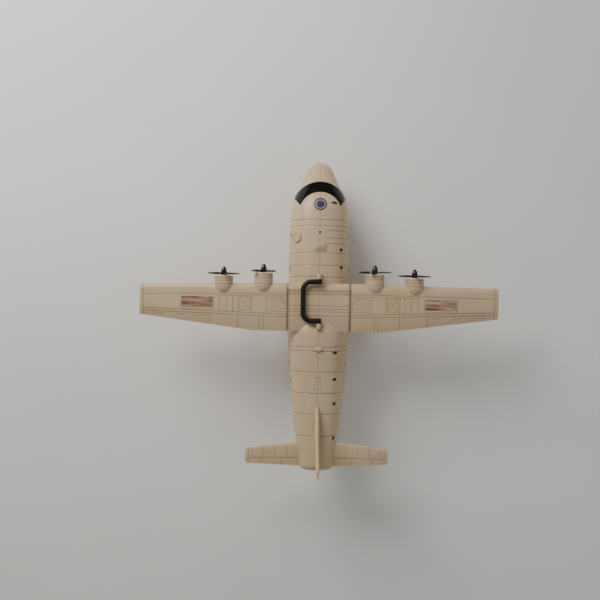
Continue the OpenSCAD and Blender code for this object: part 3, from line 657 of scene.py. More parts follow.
def wing_height(t, x, side):
    h = UPPER_H if side > 0 else LOWER_H
    size = h[0] + (h[1] - h[0]) * reach(x)
    nose = np.sqrt(np.clip(1 - (1 - np.clip(t, 0, 0.18) / 0.18) ** 2, 0, 1))
    tail = np.interp(t, [0, 0.5, 0.6, 0.7, 0.78, 0.85, 0.93, 1],
                     [1, 1, 0.97, 0.9, 0.77, 0.62, 0.42, 0.22])
    return size * np.where(t < 0.18, nose, tail) * (0.35 + 0.65 * tip_round(x, 4.5))


WALKWAY = (30.5, 34.3, 38.1, 41.9, 45.7, 49.5)


def wing_lines(x, back):
    """Engraved lines on top of the outer panel. back is the distance behind LINES_ST."""
    out = tri_line(x - (TIP_X - 8), 0.8, 0.45)
    rear = 45.6 + (60 - 45.6) * (1 - reach(x))
    out = np.maximum(out, tri_line(back - 18.2, 0.8, 0.42) * band(x, ROOT_X, TIP_X - 8))
    out = np.maximum(out, tri_line(back - 22.6, 0.75, 0.38) * band(x, ROOT_X, 206))
    for d in (0.0, 5.0):
        out = np.maximum(out, tri_line(back - rear - d, 0.8, 0.45) * band(x, ROOT_X, TIP_X - 8))
    for rib in (199, 185, 172, 162, 134):
        out = np.maximum(out, tri_line(x - rib, 0.75, 0.4) * band(back, 22, rear))
    for rib in (332, 218, 162, 119, 111):
        out = np.maximum(out, tri_line(x - rib, 0.75, 0.4) * band(back, rear + 5, CHORD))
    # hinge cut-outs of the outer flap
    for mid in (321, 277.5, 236):
        out = np.maximum(out, box_line(x, back, mid - 8, mid + 8, rear + 5, rear + 10, 0.7, 0.4, 1))
    # square panel with a cross brace
    top, low = 25.0, 51.0
    out = np.maximum(out, box_line(x, back, 137, 158, top, low, 0.7, 0.4, corner=2))
    for ends in ((139, top + 2, 156, low - 2), (156, top + 2, 139, low - 2)):
        out = np.maximum(out, segment_line(x, back, *ends, 0.75, 0.34))
    # walkway of short grooves inboard of the inner engine
    out = np.maximum(out, box_line(x, back, 68, 105, 26, 54, 0.75, 0.4, corner=2))
    dashes = np.clip(1.6 - np.abs((x % 3.6) - 1.8) / 0.75, 0, 1)
    for d in WALKWAY:
        out = np.maximum(out, tri_line(back - d, 0.8, 0.4) * dashes * band(x, 71, 101))
    out = np.maximum(out, segment_line(x, back, 66, 40, 79, 26, 0.8, 0.38))
    # sunk edge of the label
    return np.maximum(out, box_line(x, back, 211, 277, 24.5, 48.5, 0.75, 0.32, corner=2))


def chord_shares(n):
    """Positions across the chord, close together round the leading edge."""
    nose = 0.18 * (1 - np.cos(np.linspace(0, np.pi / 2, 15)))
    return np.concatenate([nose, np.linspace(0.18, 1, n - 14)[1:]])


def wing_panel(x0, x1, side, step, lines=None):
    """Grid over one side of the wing, from the leading edge back."""
    xs = np.arange(x0, x1 - 6, step)
    xs = np.concatenate([xs, np.linspace(xs[-1] + step, x1, 12)]) if x1 == TIP_X else np.append(xs, x1)
    ts = chord_shares(int(CHORD / step) + 15)
    x, t = np.meshgrid(xs, ts, indexing="ij")
    le, te = le_y(x), te_y(x)
    y = le + (te - le) * t
    z = SPLIT_Z + side * wing_height(t, x, side)
    points = np.stack([x, y, z], -1)
    depth = np.zeros_like(x)
    if lines:
        depth = lines(x, y_at(LINES_ST) - 5 * reach(x) - y)
        depth *= np.clip((y - te) / 3, 0, 1)
    depth = np.maximum(depth, tri_line(x - ROOT_X, 1.3, 1.0))
    return engrave(points, depth, np.array([0, 0, side]))


def close_panel(piece, points, side):
    """Edge walls and the flat face at the split, so that the panel is a closed solid."""
    flat = points.copy()
    flat[..., 2] = SPLIT_Z
    piece.join(points, flat, (OUTER, FRONT, BACK))
    piece.grid(np.stack([flat[INNER], flat[OUTER]]), flip=side > 0)


def nacelle(piece, x, side, length):
    """Half of a nacelle's pod, revolved about its shaft, with two engraved bands."""
    front = le_y(x) + NAC_FRONT[0 if x < 150 else 1]
    body = front - le_y(x) - 7 + 2
    arc = np.radians(np.linspace(0, 90, 40))
    along = np.concatenate([np.linspace(0, body, 26)[:-1], body + length * np.sin(arc)])
    radius = np.concatenate([np.full(25, NAC_R), NAC_R * np.cos(arc)])
    depth = tri_line(along - 4, 0.7, 0.35) + tri_line(along - body, 0.7, 0.3)
    radius = np.maximum(radius - depth, 0.01)
    cut = math.asin((SPLIT_Z - NAC_Z) / NAC_R)
    if side > 0:
        turn = np.linspace(cut, np.pi - cut, 73)
    else:
        turn = np.linspace(np.pi - cut, 2 * np.pi + cut, 85)
    u, v = np.meshgrid(turn, np.arange(len(along)), indexing="xy")
    r = radius[v]
    points = np.stack([x + r * np.cos(u), front - 7 - along[v], NAC_Z + r * np.sin(u)], -1)
    points[..., 2] = SPLIT_Z + side * np.maximum(side * (points[..., 2] - SPLIT_Z), 0)
    shade = np.clip(depth / 0.4, 0, 1)[v]
    piece.grid(points, shade)
    piece.cap(points[0], flip=True)


def domes(piece, places, radius=0.9, height=0.45):
    """Low rivet heads. places holds rows of x, y, z."""
    ring = np.radians(np.arange(0, 360, 45))
    for px, py, pz in places:
        outer = [(px + radius * math.cos(a), py + radius * math.sin(a), pz - 0.15) for a in ring]
        inner = [(px + 0.6 * radius * math.cos(a), py + 0.6 * radius * math.sin(a), pz + 0.75 * height)
                 for a in ring]
        points = outer + inner + [(px, py, pz + height)]
        faces = [[i, (i + 1) % 8, 8 + (i + 1) % 8, 8 + i] for i in range(8)]
        faces += [[8 + i, 8 + (i + 1) % 8, 16] for i in range(8)]
        piece.add(points, faces)


def wing_point(x, back):
    y = y_at(LINES_ST) - 5 * reach(x) - back
    t = (le_y(x) - y) / (le_y(x) - te_y(x))
    return x, float(y), SPLIT_Z + float(wing_height(np.array(t), np.array(x), 1))


def wing_top(side_name, mirror):
    piece = Piece()
    points, shade = wing_panel(ROOT_X + 0.3, TIP_X, 1, 0.95, wing_lines)
    piece.grid(points, shade)
    close_panel(piece, points, 1)
    for x in ENGINES:
        nacelle(piece, x, 1, 22)
    rows = [wing_point(x, back) for x in (118.2, 122.0, 128.6) for back in np.arange(19, 84, 3.2)]
    rows += [wing_point(x, 15.2) for x in np.arange(212, 350, 4.6)]
    rows += [wing_point(TIP_X - 4, back) for back in np.arange(6, 58, 5.2)]
    domes(piece, rows)
    piece.build(f"wing_{side_name}_top_shell", [SAND], "airframe", f"wing_{side_name}_top",
                mirror=mirror)


def bottom_lines(x, back):
    out = tri_line(x - (TIP_X - 7), 0.8, 0.45)
    for d in (20, 62):
        out = np.maximum(out, tri_line(back - d, 0.75, 0.4))
    for rib in (80, 150, 175, 215, 240, 265, 290, 315, 335):
        out = np.maximum(out, tri_line(x - rib, 0.7, 0.35) * band(back, 20, 62))
    return out


def wing_bottom(side_name, mirror):
    piece = Piece()
    points, shade = wing_panel(ROOT_X + 0.3, TIP_X, -1, 1.3, bottom_lines)
    rows, cols = points.shape[:2]
    flat, dark = points.reshape(-1, 3), shade.reshape(-1)
    faces = grid_faces(rows, cols)
    for x in (90, 150, 235, 320):
        def field(p, x=x):
            return np.hypot(p[:, 0] - x, p[:, 1] - y_at(LE_ST + 48)) - 2.6
        flat, dark, faces, edges = clip(flat, dark, faces, field(flat))
        flat, dark, faces = add_rim(flat, dark, faces, edges, lambda p: np.array([0, 0, 4.0]))
    flat, dark, faces = compact(flat, dark, faces)
    piece.add(flat, faces, dark)
    close_panel(piece, points, -1)
    for x in ENGINES:
        nacelle(piece, x, -1, 58)
    x0, x1 = ROOT_X - 21.5, ROOT_X + 2
    y0, y1, z0, z1 = y_at(LE_ST + 52), y_at(LE_ST + 20), SPLIT_Z - 6, SPLIT_Z - 1
    add_box(piece, (x0, y0, z0), (x1, y1, z1), 0.8)
    piece.build(f"wing_{side_name}_bottom_shell", [SAND], "airframe", f"wing_{side_name}_bottom",
                mirror=mirror)


def add_box(piece, low, high, bevel):
    """Box with bevelled edges."""
    bm = bmesh.new()
    bmesh.ops.create_cube(bm, size=1)
    for v in bm.verts:
        v.co = [low[i] + (high[i] - low[i]) * (v.co[i] + 0.5) for i in range(3)]
    bmesh.ops.bevel(bm, geom=bm.edges[:], offset=bevel, segments=2, profile=0.6, affect="EDGES")
    bm.verts.index_update()
    points = [tuple(v.co) for v in bm.verts]
    faces = [[v.index for v in f.verts] for f in bm.faces]
    bm.free()
    piece.add(points, faces)


# ---------------------------------------------------------------- fuselage halves
DECK_ST = (261.0, 265.8, 268.8, 291.2, 298.2, 302.8, 311.2)


def deck_depth(x, back):
    y = y_at(LINES_ST) - back - 6
    out = tri_line(x - (ROOT_X - 3.2), 0.7, 0.3)
    for station in DECK_ST:
        out = np.maximum(out, tri_line(y - y_at(station), 0.75, 0.42))
    return np.maximum(out, tri_line(x, 0.6, 0.22))


def add_deck(piece):
    for side in (1, -1):
        points, shade = wing_panel(0.0, ROOT_X, side, 1.1, deck_depth if side > 0 else None)
        piece.grid(points, shade, flip=side < 0)
        flat = points.copy()
        flat[..., 2] = SPLIT_Z
        piece.join(points, flat, (BACK, OUTER))


def fuselage_half(left):
    piece = Piece()
    rows = station_rows(1.7)
    grid = fuselage_grid(rows, 24, 118)
    depth = fuselage_depth(grid, left)
    grid, shade = engrave(grid, depth, outward_of(grid))
    grid[:, 0, 0] = grid[:, -1, 0] = 0
    points, dark = grid.reshape(-1, 3), shade.reshape(-1)
    faces = grid_faces(*grid.shape[:2])
    inner = fuselage_grid(np.concatenate([[-9, 0, 14, 30], np.arange(45, 600, 9), [608]]), 8, 26, -WALL)
    ipoints, idark = inner.reshape(-1, 3), np.zeros(inner.size // 3)
    ifaces = grid_faces(*inner.shape[:2], flip=True)
    for field, walls, *shade in fuselage_cuts(left):
        points, dark, faces, edges = clip(points, dark, faces, field(points))
        points, dark, faces = add_rim(points, dark, faces, edges, walls, *shade)
        ipoints, idark, ifaces, _ = clip(ipoints, idark, ifaces, field(ipoints))
    points, dark, faces = compact(points, dark, faces)
    ipoints, idark, ifaces = compact(ipoints, idark, ifaces)
    piece.add(points, faces, dark)
    piece.add(ipoints, ifaces, idark, slot=1)
    piece.cap(grid[-1])
    piece.cap(grid[0], flip=True)
    add_deck(piece)
    name = "left" if left else "right"
    piece.build(f"fuselage_{name}_shell", [SAND, SAND_INSIDE_SHADED], "airframe", f"fuselage_{name}",
                mirror=left)


fuselage_half(False)
fuselage_half(True)
for name, mirror in (("right", False), ("left", True)):
    wing_top(name, mirror)
    wing_bottom(name, mirror)


# ---------------------------------------------------------------- windscreen and labels
def windscreen():
    """Glossy band of five panes. The right half is worked out and mirrored."""
    rows = np.arange(28.0, 116.0, 0.8)
    skins = []
    for grow in (0.7, -1.3):
        grid = fuselage_grid(rows, 10, 150, grow)
        if grow > 0:
            dx, dy = grid[..., 0], grid[..., 1] - WS_OUT[0]
            angle = np.arctan2(dx, np.maximum(dy, 1e-6)) * 180 / np.pi
            radius = np.hypot(dx, dy)
            depth = np.zeros_like(dx)
            for pane in (14.0, 42.0):
                depth = np.maximum(depth, tri_line((angle - pane) * radius * np.pi / 180, 0.8, 0.5))
            grid, _ = engrave(grid, depth, outward_of(grid))
            grid[:, -1, 0] = 0
        skins.append(grid)
    piece = Piece()
    for sign in (1, -1):
        for grid, flip in zip(skins, (False, True)):
            points = grid.reshape(-1, 3)
            faces = grid_faces(*grid.shape[:2], flip=flip)
            field = windscreen_field(points)
            points, dark, faces, edges = clip(points, np.zeros(len(points)), faces, field)
            if not flip:
                points, dark, faces = add_rim(points, dark, faces, edges, to_middle)
            points, dark, faces = compact(points, dark, faces)
            piece.add(points * [sign, 1, 1], faces)
    piece.build("windscreen_panes", [GLOSS], "airframe", "windscreen",
                sharp=30, weld=0.02)


def roundel(name, node, body, place, radius):
    """Round label of concentric rings. place(r, a) gives a point of its face and its back."""
    radii = np.linspace(0.02, 1, 18) * radius
    angles = np.linspace(0, 2 * np.pi, 73)[:-1]
    face = np.array([[place(r, a) for a in angles] for r in radii])
    piece = Piece()
    piece.grid(face[:, :, 0], wrap=True)
    piece.grid(np.stack([face[-1, :, 0], face[-1, :, 1]]), wrap=True)
    piece.grid(face[::-1, :, 1], wrap=True)
    piece.cap(face[0, :, 0])
    piece.cap(face[0, :, 1])
    centre = face[0, :, 0].mean(0)
    return piece.build(name, [label_rings(name + "_print", centre, radius)], body, node)


def label_rings(name, centre, radius):
    """Print of plain rings round a small wheel of six sectors."""
    s = Shader(name)
    offset = s.add("ShaderNodeVectorMath", operation="SUBTRACT")
    s.link(s.coords, offset.inputs[0])
    offset.inputs[1].default_value = tuple(np.array(centre) * MM)
    length = s.add("ShaderNodeVectorMath", operation="LENGTH")
    s.link(offset.outputs["Vector"], length.inputs[0])
    share = s.math("DIVIDE", length.outputs["Value"], radius * MM)
    parts = s.add("ShaderNodeSeparateXYZ")
    s.link(offset.outputs["Vector"], parts.inputs[0])
    across = parts.outputs["X"] if abs(centre[0]) < 1 else parts.outputs["Z"]
    angle = s.math("ARCTAN2", across, parts.outputs["Y"])
    sector = s.math("GREATER_THAN", s.math("SINE", s.math("MULTIPLY", angle, 3.0)), 0.0)
    wheel = s.mix(sector, srgb(30, 38, 92), srgb(78, 50, 76))
    rings = s.ramp(share, [(0.0, srgb(30, 34, 80)), (0.6, srgb(142, 132, 148)),
                           (0.84, srgb(30, 26, 32)), (0.97, srgb(60, 50, 46))])
    rings.node.color_ramp.interpolation = "CONSTANT"
    inner = s.math("LESS_THAN", share, 0.6)
    colour = s.mix(inner, rings, wheel)
    worn = s.span(s.noise(900, 3), 0.0, 0.25, 0.55, 0.7)
    return s.finish(s.mix(worn, colour, srgb(120, 108, 100)), s.span(s.noise(80), 0.3, 0.42))


def emblem_point(r, a):
    x, y = r * math.cos(a), y_at(80.0) + r * math.sin(a)
    z = float(skin_z(HALF_L - y, x))
    return np.array([[x, y, z + 0.34], [x, y, z + 0.06]])


def label_camouflage():
    """Printed rectangle of brown streaks that run along it."""
    s = Shader("wing_label_print")
    streaks = s.noise(60, 4, 0.6, stretch=(0.3, 2.4, 1))
    blots = s.noise(90, 3, 0.5, stretch=(0.25, 1.8, 1))
    base = s.ramp(streaks, [(0.36, srgb(104, 62, 48)), (0.45, srgb(146, 112, 90)),
                            (0.58, srgb(170, 138, 114)), (0.68, srgb(200, 172, 152))])
    dark = s.span(blots, 0.0, 0.7, 0.56, 0.66)
    colour = s.mix(dark, base, srgb(82, 44, 34))
    s.bump(s.noise(1200), 0.00002, 0.4)
    return s.finish(colour, s.span(s.noise(70), 0.3, 0.42))


LABEL = label_camouflage()


def wing_label(side_name, mirror):
    """Thin flat label that lies on the wing's top."""
    x0, x1, y0, y1 = 212.6, 275.4, y_at(289.9), y_at(269.1)
    xs = np.linspace(x0, x1, 43)
    ys = np.linspace(y0, y1, 15)
    x, y = np.meshgrid(xs, ys, indexing="ij")
    top = SPLIT_Z + UPPER_H[0] + (UPPER_H[1] - UPPER_H[0]) * reach(x)
    face = np.stack([x, y, top + 0.28], -1)
    back = np.stack([x, y, top + 0.02], -1)
    piece = Piece()
    piece.grid(face)
    piece.grid(back, flip=True)
    piece.join(face, back, (FRONT, BACK, INNER, OUTER))
    piece.build(f"wing_{side_name}_label", [LABEL], "airframe", f"wing_{side_name}_decal",
                mirror=mirror, weld=0.001)


# ---------------------------------------------------------------- round pieces
def revolve(piece, profile, centre, axis, turns=64, groove=None, wobble=None):
    """Revolves rows of radius and distance along an axis, X, Y or Z, about a centre."""
    profile = np.asarray(profile, float)
    angle = np.linspace(0, 2 * np.pi, turns, endpoint=False)
    radius = np.repeat(profile[:, :1], turns, 1)
    if wobble is not None:
        radius = radius + wobble(profile, angle)
    along = np.repeat(profile[:, 1:2], turns, 1)
    u, v = radius * np.cos(angle), radius * np.sin(angle)
    points = {"X": (along, u, v), "Y": (v, along, u), "Z": (u, v, along)}[axis]
    shade = np.zeros_like(u) if groove is None else np.repeat(np.asarray(groove)[:, None], turns, 1)
    piece.grid(np.stack(points, -1) + centre, shade, wrap=True)


def arc(cx, cy, r, a0, a1, n):
    """Points of a profile along an arc, in degrees."""
    a = np.radians(np.linspace(a0, a1, n))
    return np.stack([cx + r * np.cos(a), cy + r * np.sin(a)], -1)


def engine_place(i):
    x = (-ENGINES[1], -ENGINES[0], ENGINES[0], ENGINES[1])[i]
    front = float(le_y(np.array(abs(x)))) + NAC_FRONT[0 if abs(x) < 150 else 1]
    return np.array([x, front, NAC_Z])


def cowl(i):
    """Front ring of a nacelle: round lip, sunk face with vanes, and a boss for the pin."""
    piece = Piece()
    lip = 2.5
    profile = np.concatenate([
        [[1.55, -6.6], [NAC_R, -6.6], [NAC_R, -5.0], [NAC_R - 0.35, -4.5], [NAC_R, -4.0]],
        arc(NAC_R - lip, -lip, lip, 0, 180, 14),
        [[NAC_R - 2 * lip, -4.2], [13.2, -4.7], [5.4, -4.7]],
        arc(4.9, -1.4, 0.5, 0, 90, 4),
        [[1.55, -0.9], [1.55, -6.6]]])
    shade = [0, 0, 0.2, 1, 0.2] + [0] * 14 + [0.3, 0.6, 0.6] + [0] * 4 + [0.3, 0.3]
    at = engine_place(i)
    revolve(piece, profile, at, "Y", 72, shade)
    for k in range(16):
        a = 2 * math.pi * (k + 0.5) / 16
        d, n = np.array([math.sin(a), 0, math.cos(a)]), np.array([math.cos(a), 0, -math.sin(a)])
        ring = []
        for r, w in ((5.6, 0.45), (13.4, 0.8)):
            for side, y in ((-1, -4.9), (1, -4.9), (0.5, -3.6), (-0.5, -3.6)):
                ring.append(at + d * r + n * side * w + np.array([0, y, 0]))
        ring = np.array(ring).reshape(2, 4, 3)
        piece.grid(ring, wrap=True)
        piece.cap(ring[0])
        piece.cap(ring[1], flip=True)
    piece.build(f"cowl_ring_{i + 1}", [SAND], "airframe", f"cowl_{i + 1}",
                weld=0.001)


SPINNER_L, HUB_R, BLADE_R = 18.0, 6.0, 34.0


def blade_section(r):
    """Outline of a twisted blade at a distance from the shaft, in its own two axes."""
    share = (r - HUB_R) / (BLADE_R - HUB_R)
    chord = float(np.interp(share, [-0.3, 0, 0.3, 0.65, 0.9, 1], [5.0, 5.6, 7.4, 8.0, 7.2, 6.4]))
    end = math.sqrt(max(0.0, 1 - max(0.0, (share - 0.86) / 0.14) ** 2))
    chord *= max(end, 0.12)
    thick = float(np.interp(share, [-0.3, 0, 1], [2.4, 1.9, 1.0])) * max(end, 0.4)
    twist = math.radians(float(np.interp(share, [0, 1], [40, 20])))
    t = np.linspace(0, 2 * np.pi, 20, endpoint=False)
    u = chord / 2 * np.cos(t)
    v = thick / 2 * np.sin(t) * (1 + 0.25 * np.cos(t)) + 0.06 * chord * (1 - (2 * u / chord) ** 2)
    return (u * math.cos(twist) - v * math.sin(twist), u * math.sin(twist) + v * math.cos(twist))


def propeller(i):
    piece = Piece()
    at = engine_place(i)
    hub = np.concatenate([
        [[1.55, 0.3], [HUB_R - 0.3, 0.3], [HUB_R, 0.6], [HUB_R, 1.4], [HUB_R - 0.3, 1.6], [HUB_R, 1.8],
         [HUB_R, 5.0]],
        [[HUB_R * math.cos(a), 5 + (SPINNER_L - 4.7) * math.sin(a)]
         for a in np.radians(np.linspace(6, 88, 18))], [[0.02, 0.3 + SPINNER_L - 0.02]]])
    revolve(piece, hub, at, "Y", 48)
    bore = [[1.55, 0.3], [1.55, 10.0], [0.02, 10.0]]
    revolve(piece, bore, at, "Y", 48)
    rest = math.radians(20 + 25 * i)
    for k in range(4):
        # a turn about the shaft, from the propeller's own X towards the floor
        a = rest + k * math.pi / 2
        along, across = np.array([math.cos(a), 0, -math.sin(a)]), np.array([math.sin(a), 0, math.cos(a)])
        rings = []
        for r in np.concatenate([[4.2], np.linspace(6, 29.5, 16), np.linspace(30.2, BLADE_R, 9)]):
            u, v = blade_section(r)
            rings.append(at + r * along - np.outer(u, across) + np.outer(v + 3.7, [0, 1, 0]))
        rings = np.array(rings)
        piece.grid(rings, wrap=True)
        piece.cap(rings[0])
        piece.cap(rings[-1], flip=True)
    piece.build(f"propeller_blades_{i + 1}", [PROP], f"propeller_{i + 1}", f"propeller_{i + 1}",
                weld=0.001)


def wheel(name, node, body, centre, radius, width, bore):
    """Tyre with tread blocks, and a hub with a sunk face and small bolts."""
    half = width / 2
    rim = radius * 0.6
    side = np.concatenate([
        [[bore, half - 0.9], [rim * 0.42, half - 0.9], [rim * 0.46, half - 0.3], [rim * 0.72, half - 1.3],
         [rim * 0.92, half - 1.3], [rim, half - 0.15]],
        arc(radius - 1.9, half - 1.9, 1.9, 88, 20, 8), [[radius, half * 0.55], [radius, half * 0.18]],
        [[radius - 0.5, half * 0.12], [radius - 0.5, 0]]])
    profile = np.concatenate([side, (side * [1, -1])[::-1][1:]])

    def tread(rows, angle):
        outer = (rows[:, 0] > radius - 0.6) & (np.abs(rows[:, 1]) > half * 0.1)
        cut = np.clip(6 * np.sin(18 * angle[None, :] + np.sign(rows[:, 1:2]) * 0.9) - 3.6, 0, 1)
        return -0.55 * cut * outer[:, None]

    piece = Piece()
    revolve(piece, profile, centre, "X", 144, wobble=tread)
    revolve(piece, [[bore, -half + 0.9], [bore, half - 0.9]], centre, "X", 144)
    for side_x in (-1, 1):
        for k in range(6):
            a = k * math.pi / 3
            reach_r = rim * 0.8
            spot = centre + np.array([side_x * (half - 1.35), reach_r * math.cos(a),
                                      reach_r * math.sin(a)])
            bolt = [[0.01, 0.75], [0.45, 0.65], [0.62, 0.3], [0.62, -0.2]]
            revolve(piece, [[r, side_x * d] for r, d in bolt], spot, "X", 10)
    piece.build(name, [TYRE], body, node, weld=0.001)


def sound_button():
    """Round button with a shallow dish in its face and a step round its edge."""
    piece = Piece()
    r = BUTTON_R
    profile = np.concatenate([
        [[0.01, -8.5], [3, -8.5], [3, -6], [r + 1.8, -6], [r + 1.8, -4.8], [r, -4.8], [r, 1.9]],
        arc(r - 1.2, 1.9, 1.2, 0, 90, 8), [[r - 2.4, 3.1], [r - 2.8, 2.75], [r - 3.3, 2.75]],
        [[k, 2.75 - 0.5 * (1 - (k / (r - 3.3)) ** 2)] for k in np.linspace(r - 3.6, 0.01, 12)]])
    shade = [0] * 15 + [0, 1, 0.6] + [0] * 12
    angle = np.linspace(0, 2 * np.pi, 72, endpoint=False)
    side = np.array([1, 0, -1]) / math.sqrt(2)
    u = profile[:, :1] * np.cos(angle)
    v = profile[:, :1] * np.sin(angle)
    points = (BUTTON_AT + u[..., None] * side + v[..., None] * np.array([0, 1, 0])
              + np.repeat(profile[:, 1:2], 72, 1)[..., None] * BUTTON_AXIS)
    piece.grid(points, np.repeat(np.array(shade, float)[:, None], 72, 1), wrap=True)
    piece.build("sound_button_cap", [SAND], "button", "sound_button", mirror=True,
                weld=0.005)


# ---------------------------------------------------------------- handle
PIVOT_Z = SPLIT_Z + UPPER_H[0] + 5.0 + 1.4
HANDLE_R, HANDLE_REACH, BEND_R = 5.0, 37.0, 16.5
HANDLE_Y = (y_at(237.0), y_at(315.0))


def carry_handle():
    """Round bar bent twice, with a moulding seam and grip rings, and an eye at each end."""
    gx = -HANDLE_REACH + HANDLE_R
    path, ahead = [], []
    y1, y2 = HANDLE_Y
    for x in np.linspace(-0.5, gx + BEND_R, 12)[:-1]:
        path.append((x, y1))
        ahead.append((-1, 0))
    for a in np.radians(np.linspace(90, 180, 18)):
        path.append((gx + BEND_R + BEND_R * math.cos(a), y1 - BEND_R + BEND_R * math.sin(a)))
        ahead.append((-math.sin(a), math.cos(a)))
    for y in np.linspace(y1 - BEND_R, y2 + BEND_R, 90)[1:-1]:
        path.append((gx, y))
        ahead.append((0, -1))
    for a in np.radians(np.linspace(180, 270, 18)):
        path.append((gx + BEND_R + BEND_R * math.cos(a), y2 + BEND_R + BEND_R * math.sin(a)))
        ahead.append((-math.sin(a), math.cos(a)))
    for x in np.linspace(gx + BEND_R, -0.5, 12)[1:]:
        path.append((x, y2))
        ahead.append((1, 0))
    turn = np.linspace(0, 2 * np.pi, 36, endpoint=False)
    rings, shade = [], []
    for (x, y), (dx, dy) in zip(path, ahead):
        # finger rings on the straight grip, and a fine seam line on the outer side
        ring = 0.35 * max(0.0, math.cos((y - (y1 + y2) / 2) * 2 * math.pi / 6.5)) if x == gx else 0.0
        seam = 0.12 * np.exp(-((np.cos(turn) - 1) / 0.004) ** 2)
        r = HANDLE_R - ring * (abs(y - (y1 + y2) / 2) < 19) - seam
        side = np.array([dy, -dx, 0.0])
        rings.append(np.array([x, y, PIVOT_Z]) + np.outer(r * np.cos(turn), side)
                     + np.outer(r * np.sin(turn), [0, 0, 1]))
        shade.append(np.full(36, 1.2 * ring))
    piece = Piece()
    piece.grid(np.array(rings), np.array(shade), wrap=True)
    piece.cap(rings[0])
    piece.cap(rings[-1], flip=True)
    for y in HANDLE_Y:
        eye = np.concatenate([[[2.0, -5.0]], arc(HANDLE_R - 0.6, -4.4, 0.6, -90, 0, 5),
                              arc(HANDLE_R - 0.6, 4.4, 0.6, 0, 90, 5), [[2.0, 5.0], [2.0, -5.0]]])
        revolve(piece, eye, np.array([0, y, PIVOT_Z]), "Y", 48)
    piece.build("carry_handle_grip", [HANDLE], "handle", "carry_handle",
                weld=0.001)


def bracket(name, node, y0, y1, foot_z):
    """Post with a round top and a foot that widens towards the skin."""
    side = [[4.5 + 1.6 * k ** 3, PIVOT_Z - (PIVOT_Z - foot_z) * k] for k in np.linspace(0, 1, 8)]
    top = arc(0, PIVOT_Z, 4.5, 180, 0, 24)
    outline = np.concatenate([top, np.array(side)[1:], (np.array(side) * [-1, 1])[::-1][:-1]])
    centre = np.array([0, (PIVOT_Z + foot_z) / 2])
    rings = []
    bevel = ((0, 0.7), (0.25, 0.25), (0.8, 0))
    levels = [(y0 + k, inset) for k, inset in bevel] + [(y1 - k, inset) for k, inset in bevel[::-1]]
    for y, inset in levels:
        away = outline - centre
        shape = outline - inset * away / np.linalg.norm(away, axis=1, keepdims=True)
        rings.append(np.stack([shape[:, 0], np.full(len(shape), y), shape[:, 1]], -1))
    piece = Piece()
    piece.grid(np.array(rings), wrap=True)
    piece.cap(rings[0])
    piece.cap(rings[-1], flip=True)
    for y, way in ((y0, -1), (y1, 1)):
        ring = [[3.3, 0.0], [3.3, 0.45], [2.9, 0.6], [2.3, 0.6], [2.05, 0.3], [2.05, -0.4]]
        # the last two groove values darken the pin hole: painted shade
        revolve(piece, [[r, way * d] for r, d in ring], np.array([0, y, PIVOT_Z]), "Y", 32,
                [0, 0, 0, 0, 0.6, 1])
    piece.build(name, [SAND], "airframe", node, weld=0.001)


# ---------------------------------------------------------------- small fittings on top
def top_hatch():
    """Low pad with a raised panel and four ribs, sunk a little into the crown."""
    piece = Piece()
    low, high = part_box("top_hatch")
    x0, y0, _ = np.array(low) / MM
    x1, y1, z1 = np.array(high) / MM
    base = float(crown(166.0)) - 1.0
    add_box(piece, (x0, y0, base), (x1, y1, z1 - 1.2), 0.9)
    add_box(piece, (x0 + 3, y0 + 3, base), (x1 - 3, y1 - 3, z1), 0.8)
    for k in range(4):
        y = y0 + 4.1 + 1.95 * k
        add_box(piece, (x0 + 5, y - 0.35, z1 - 0.5), (x1 - 5, y + 0.35, z1), 0.15)
    piece.build("top_hatch_pad", [SAND], "airframe", "top_hatch")


def blister():
    """Oval blister with a flattened top and a thin flange round its foot."""
    cz = float(crown(371.4)) - 1
    piece = Piece()
    rings, shade = [], []
    turn = np.linspace(0, 2 * np.pi, 64, endpoint=False)
    levels = [(1.0, 0.0, 0), (1.0, 0.28, 0), (0.93, 0.36, 0.9), (0.91, 0.40, 0.6)]
    levels += [(0.91 * math.cos(a) ** 0.75, 0.4 + 0.6 * math.sin(a), 0)
               for a in np.radians(np.linspace(8, 86, 12))]
    for share, height, dark in levels:
        rings.append(np.stack([10 * share * np.cos(turn), y_at(371.4) + 5.5 * share * np.sin(turn),
                               np.full(64, cz + 4.5 * height)], -1))
        shade.append(np.full(64, dark))
    piece.grid(np.array(rings), np.array(shade, float), wrap=True)
    piece.cap(rings[-1])
    piece.cap(rings[0], flip=True)
    piece.build("antenna_blister_cap", [SAND], "airframe", "antenna_blister")


# ---------------------------------------------------------------- ramp
HINGE_ST = 440.0
HINGE_Z = float(belly(HINGE_ST)) + 5.4


def low_skin(station, x):
    mid = (crown(station) + belly(station)) / 2
    share = np.clip(np.abs(x) / half_w(station), 0, 1)
    return mid - (mid - belly(station)) * (1 - share ** LOW_N) ** (1 / LOW_N)


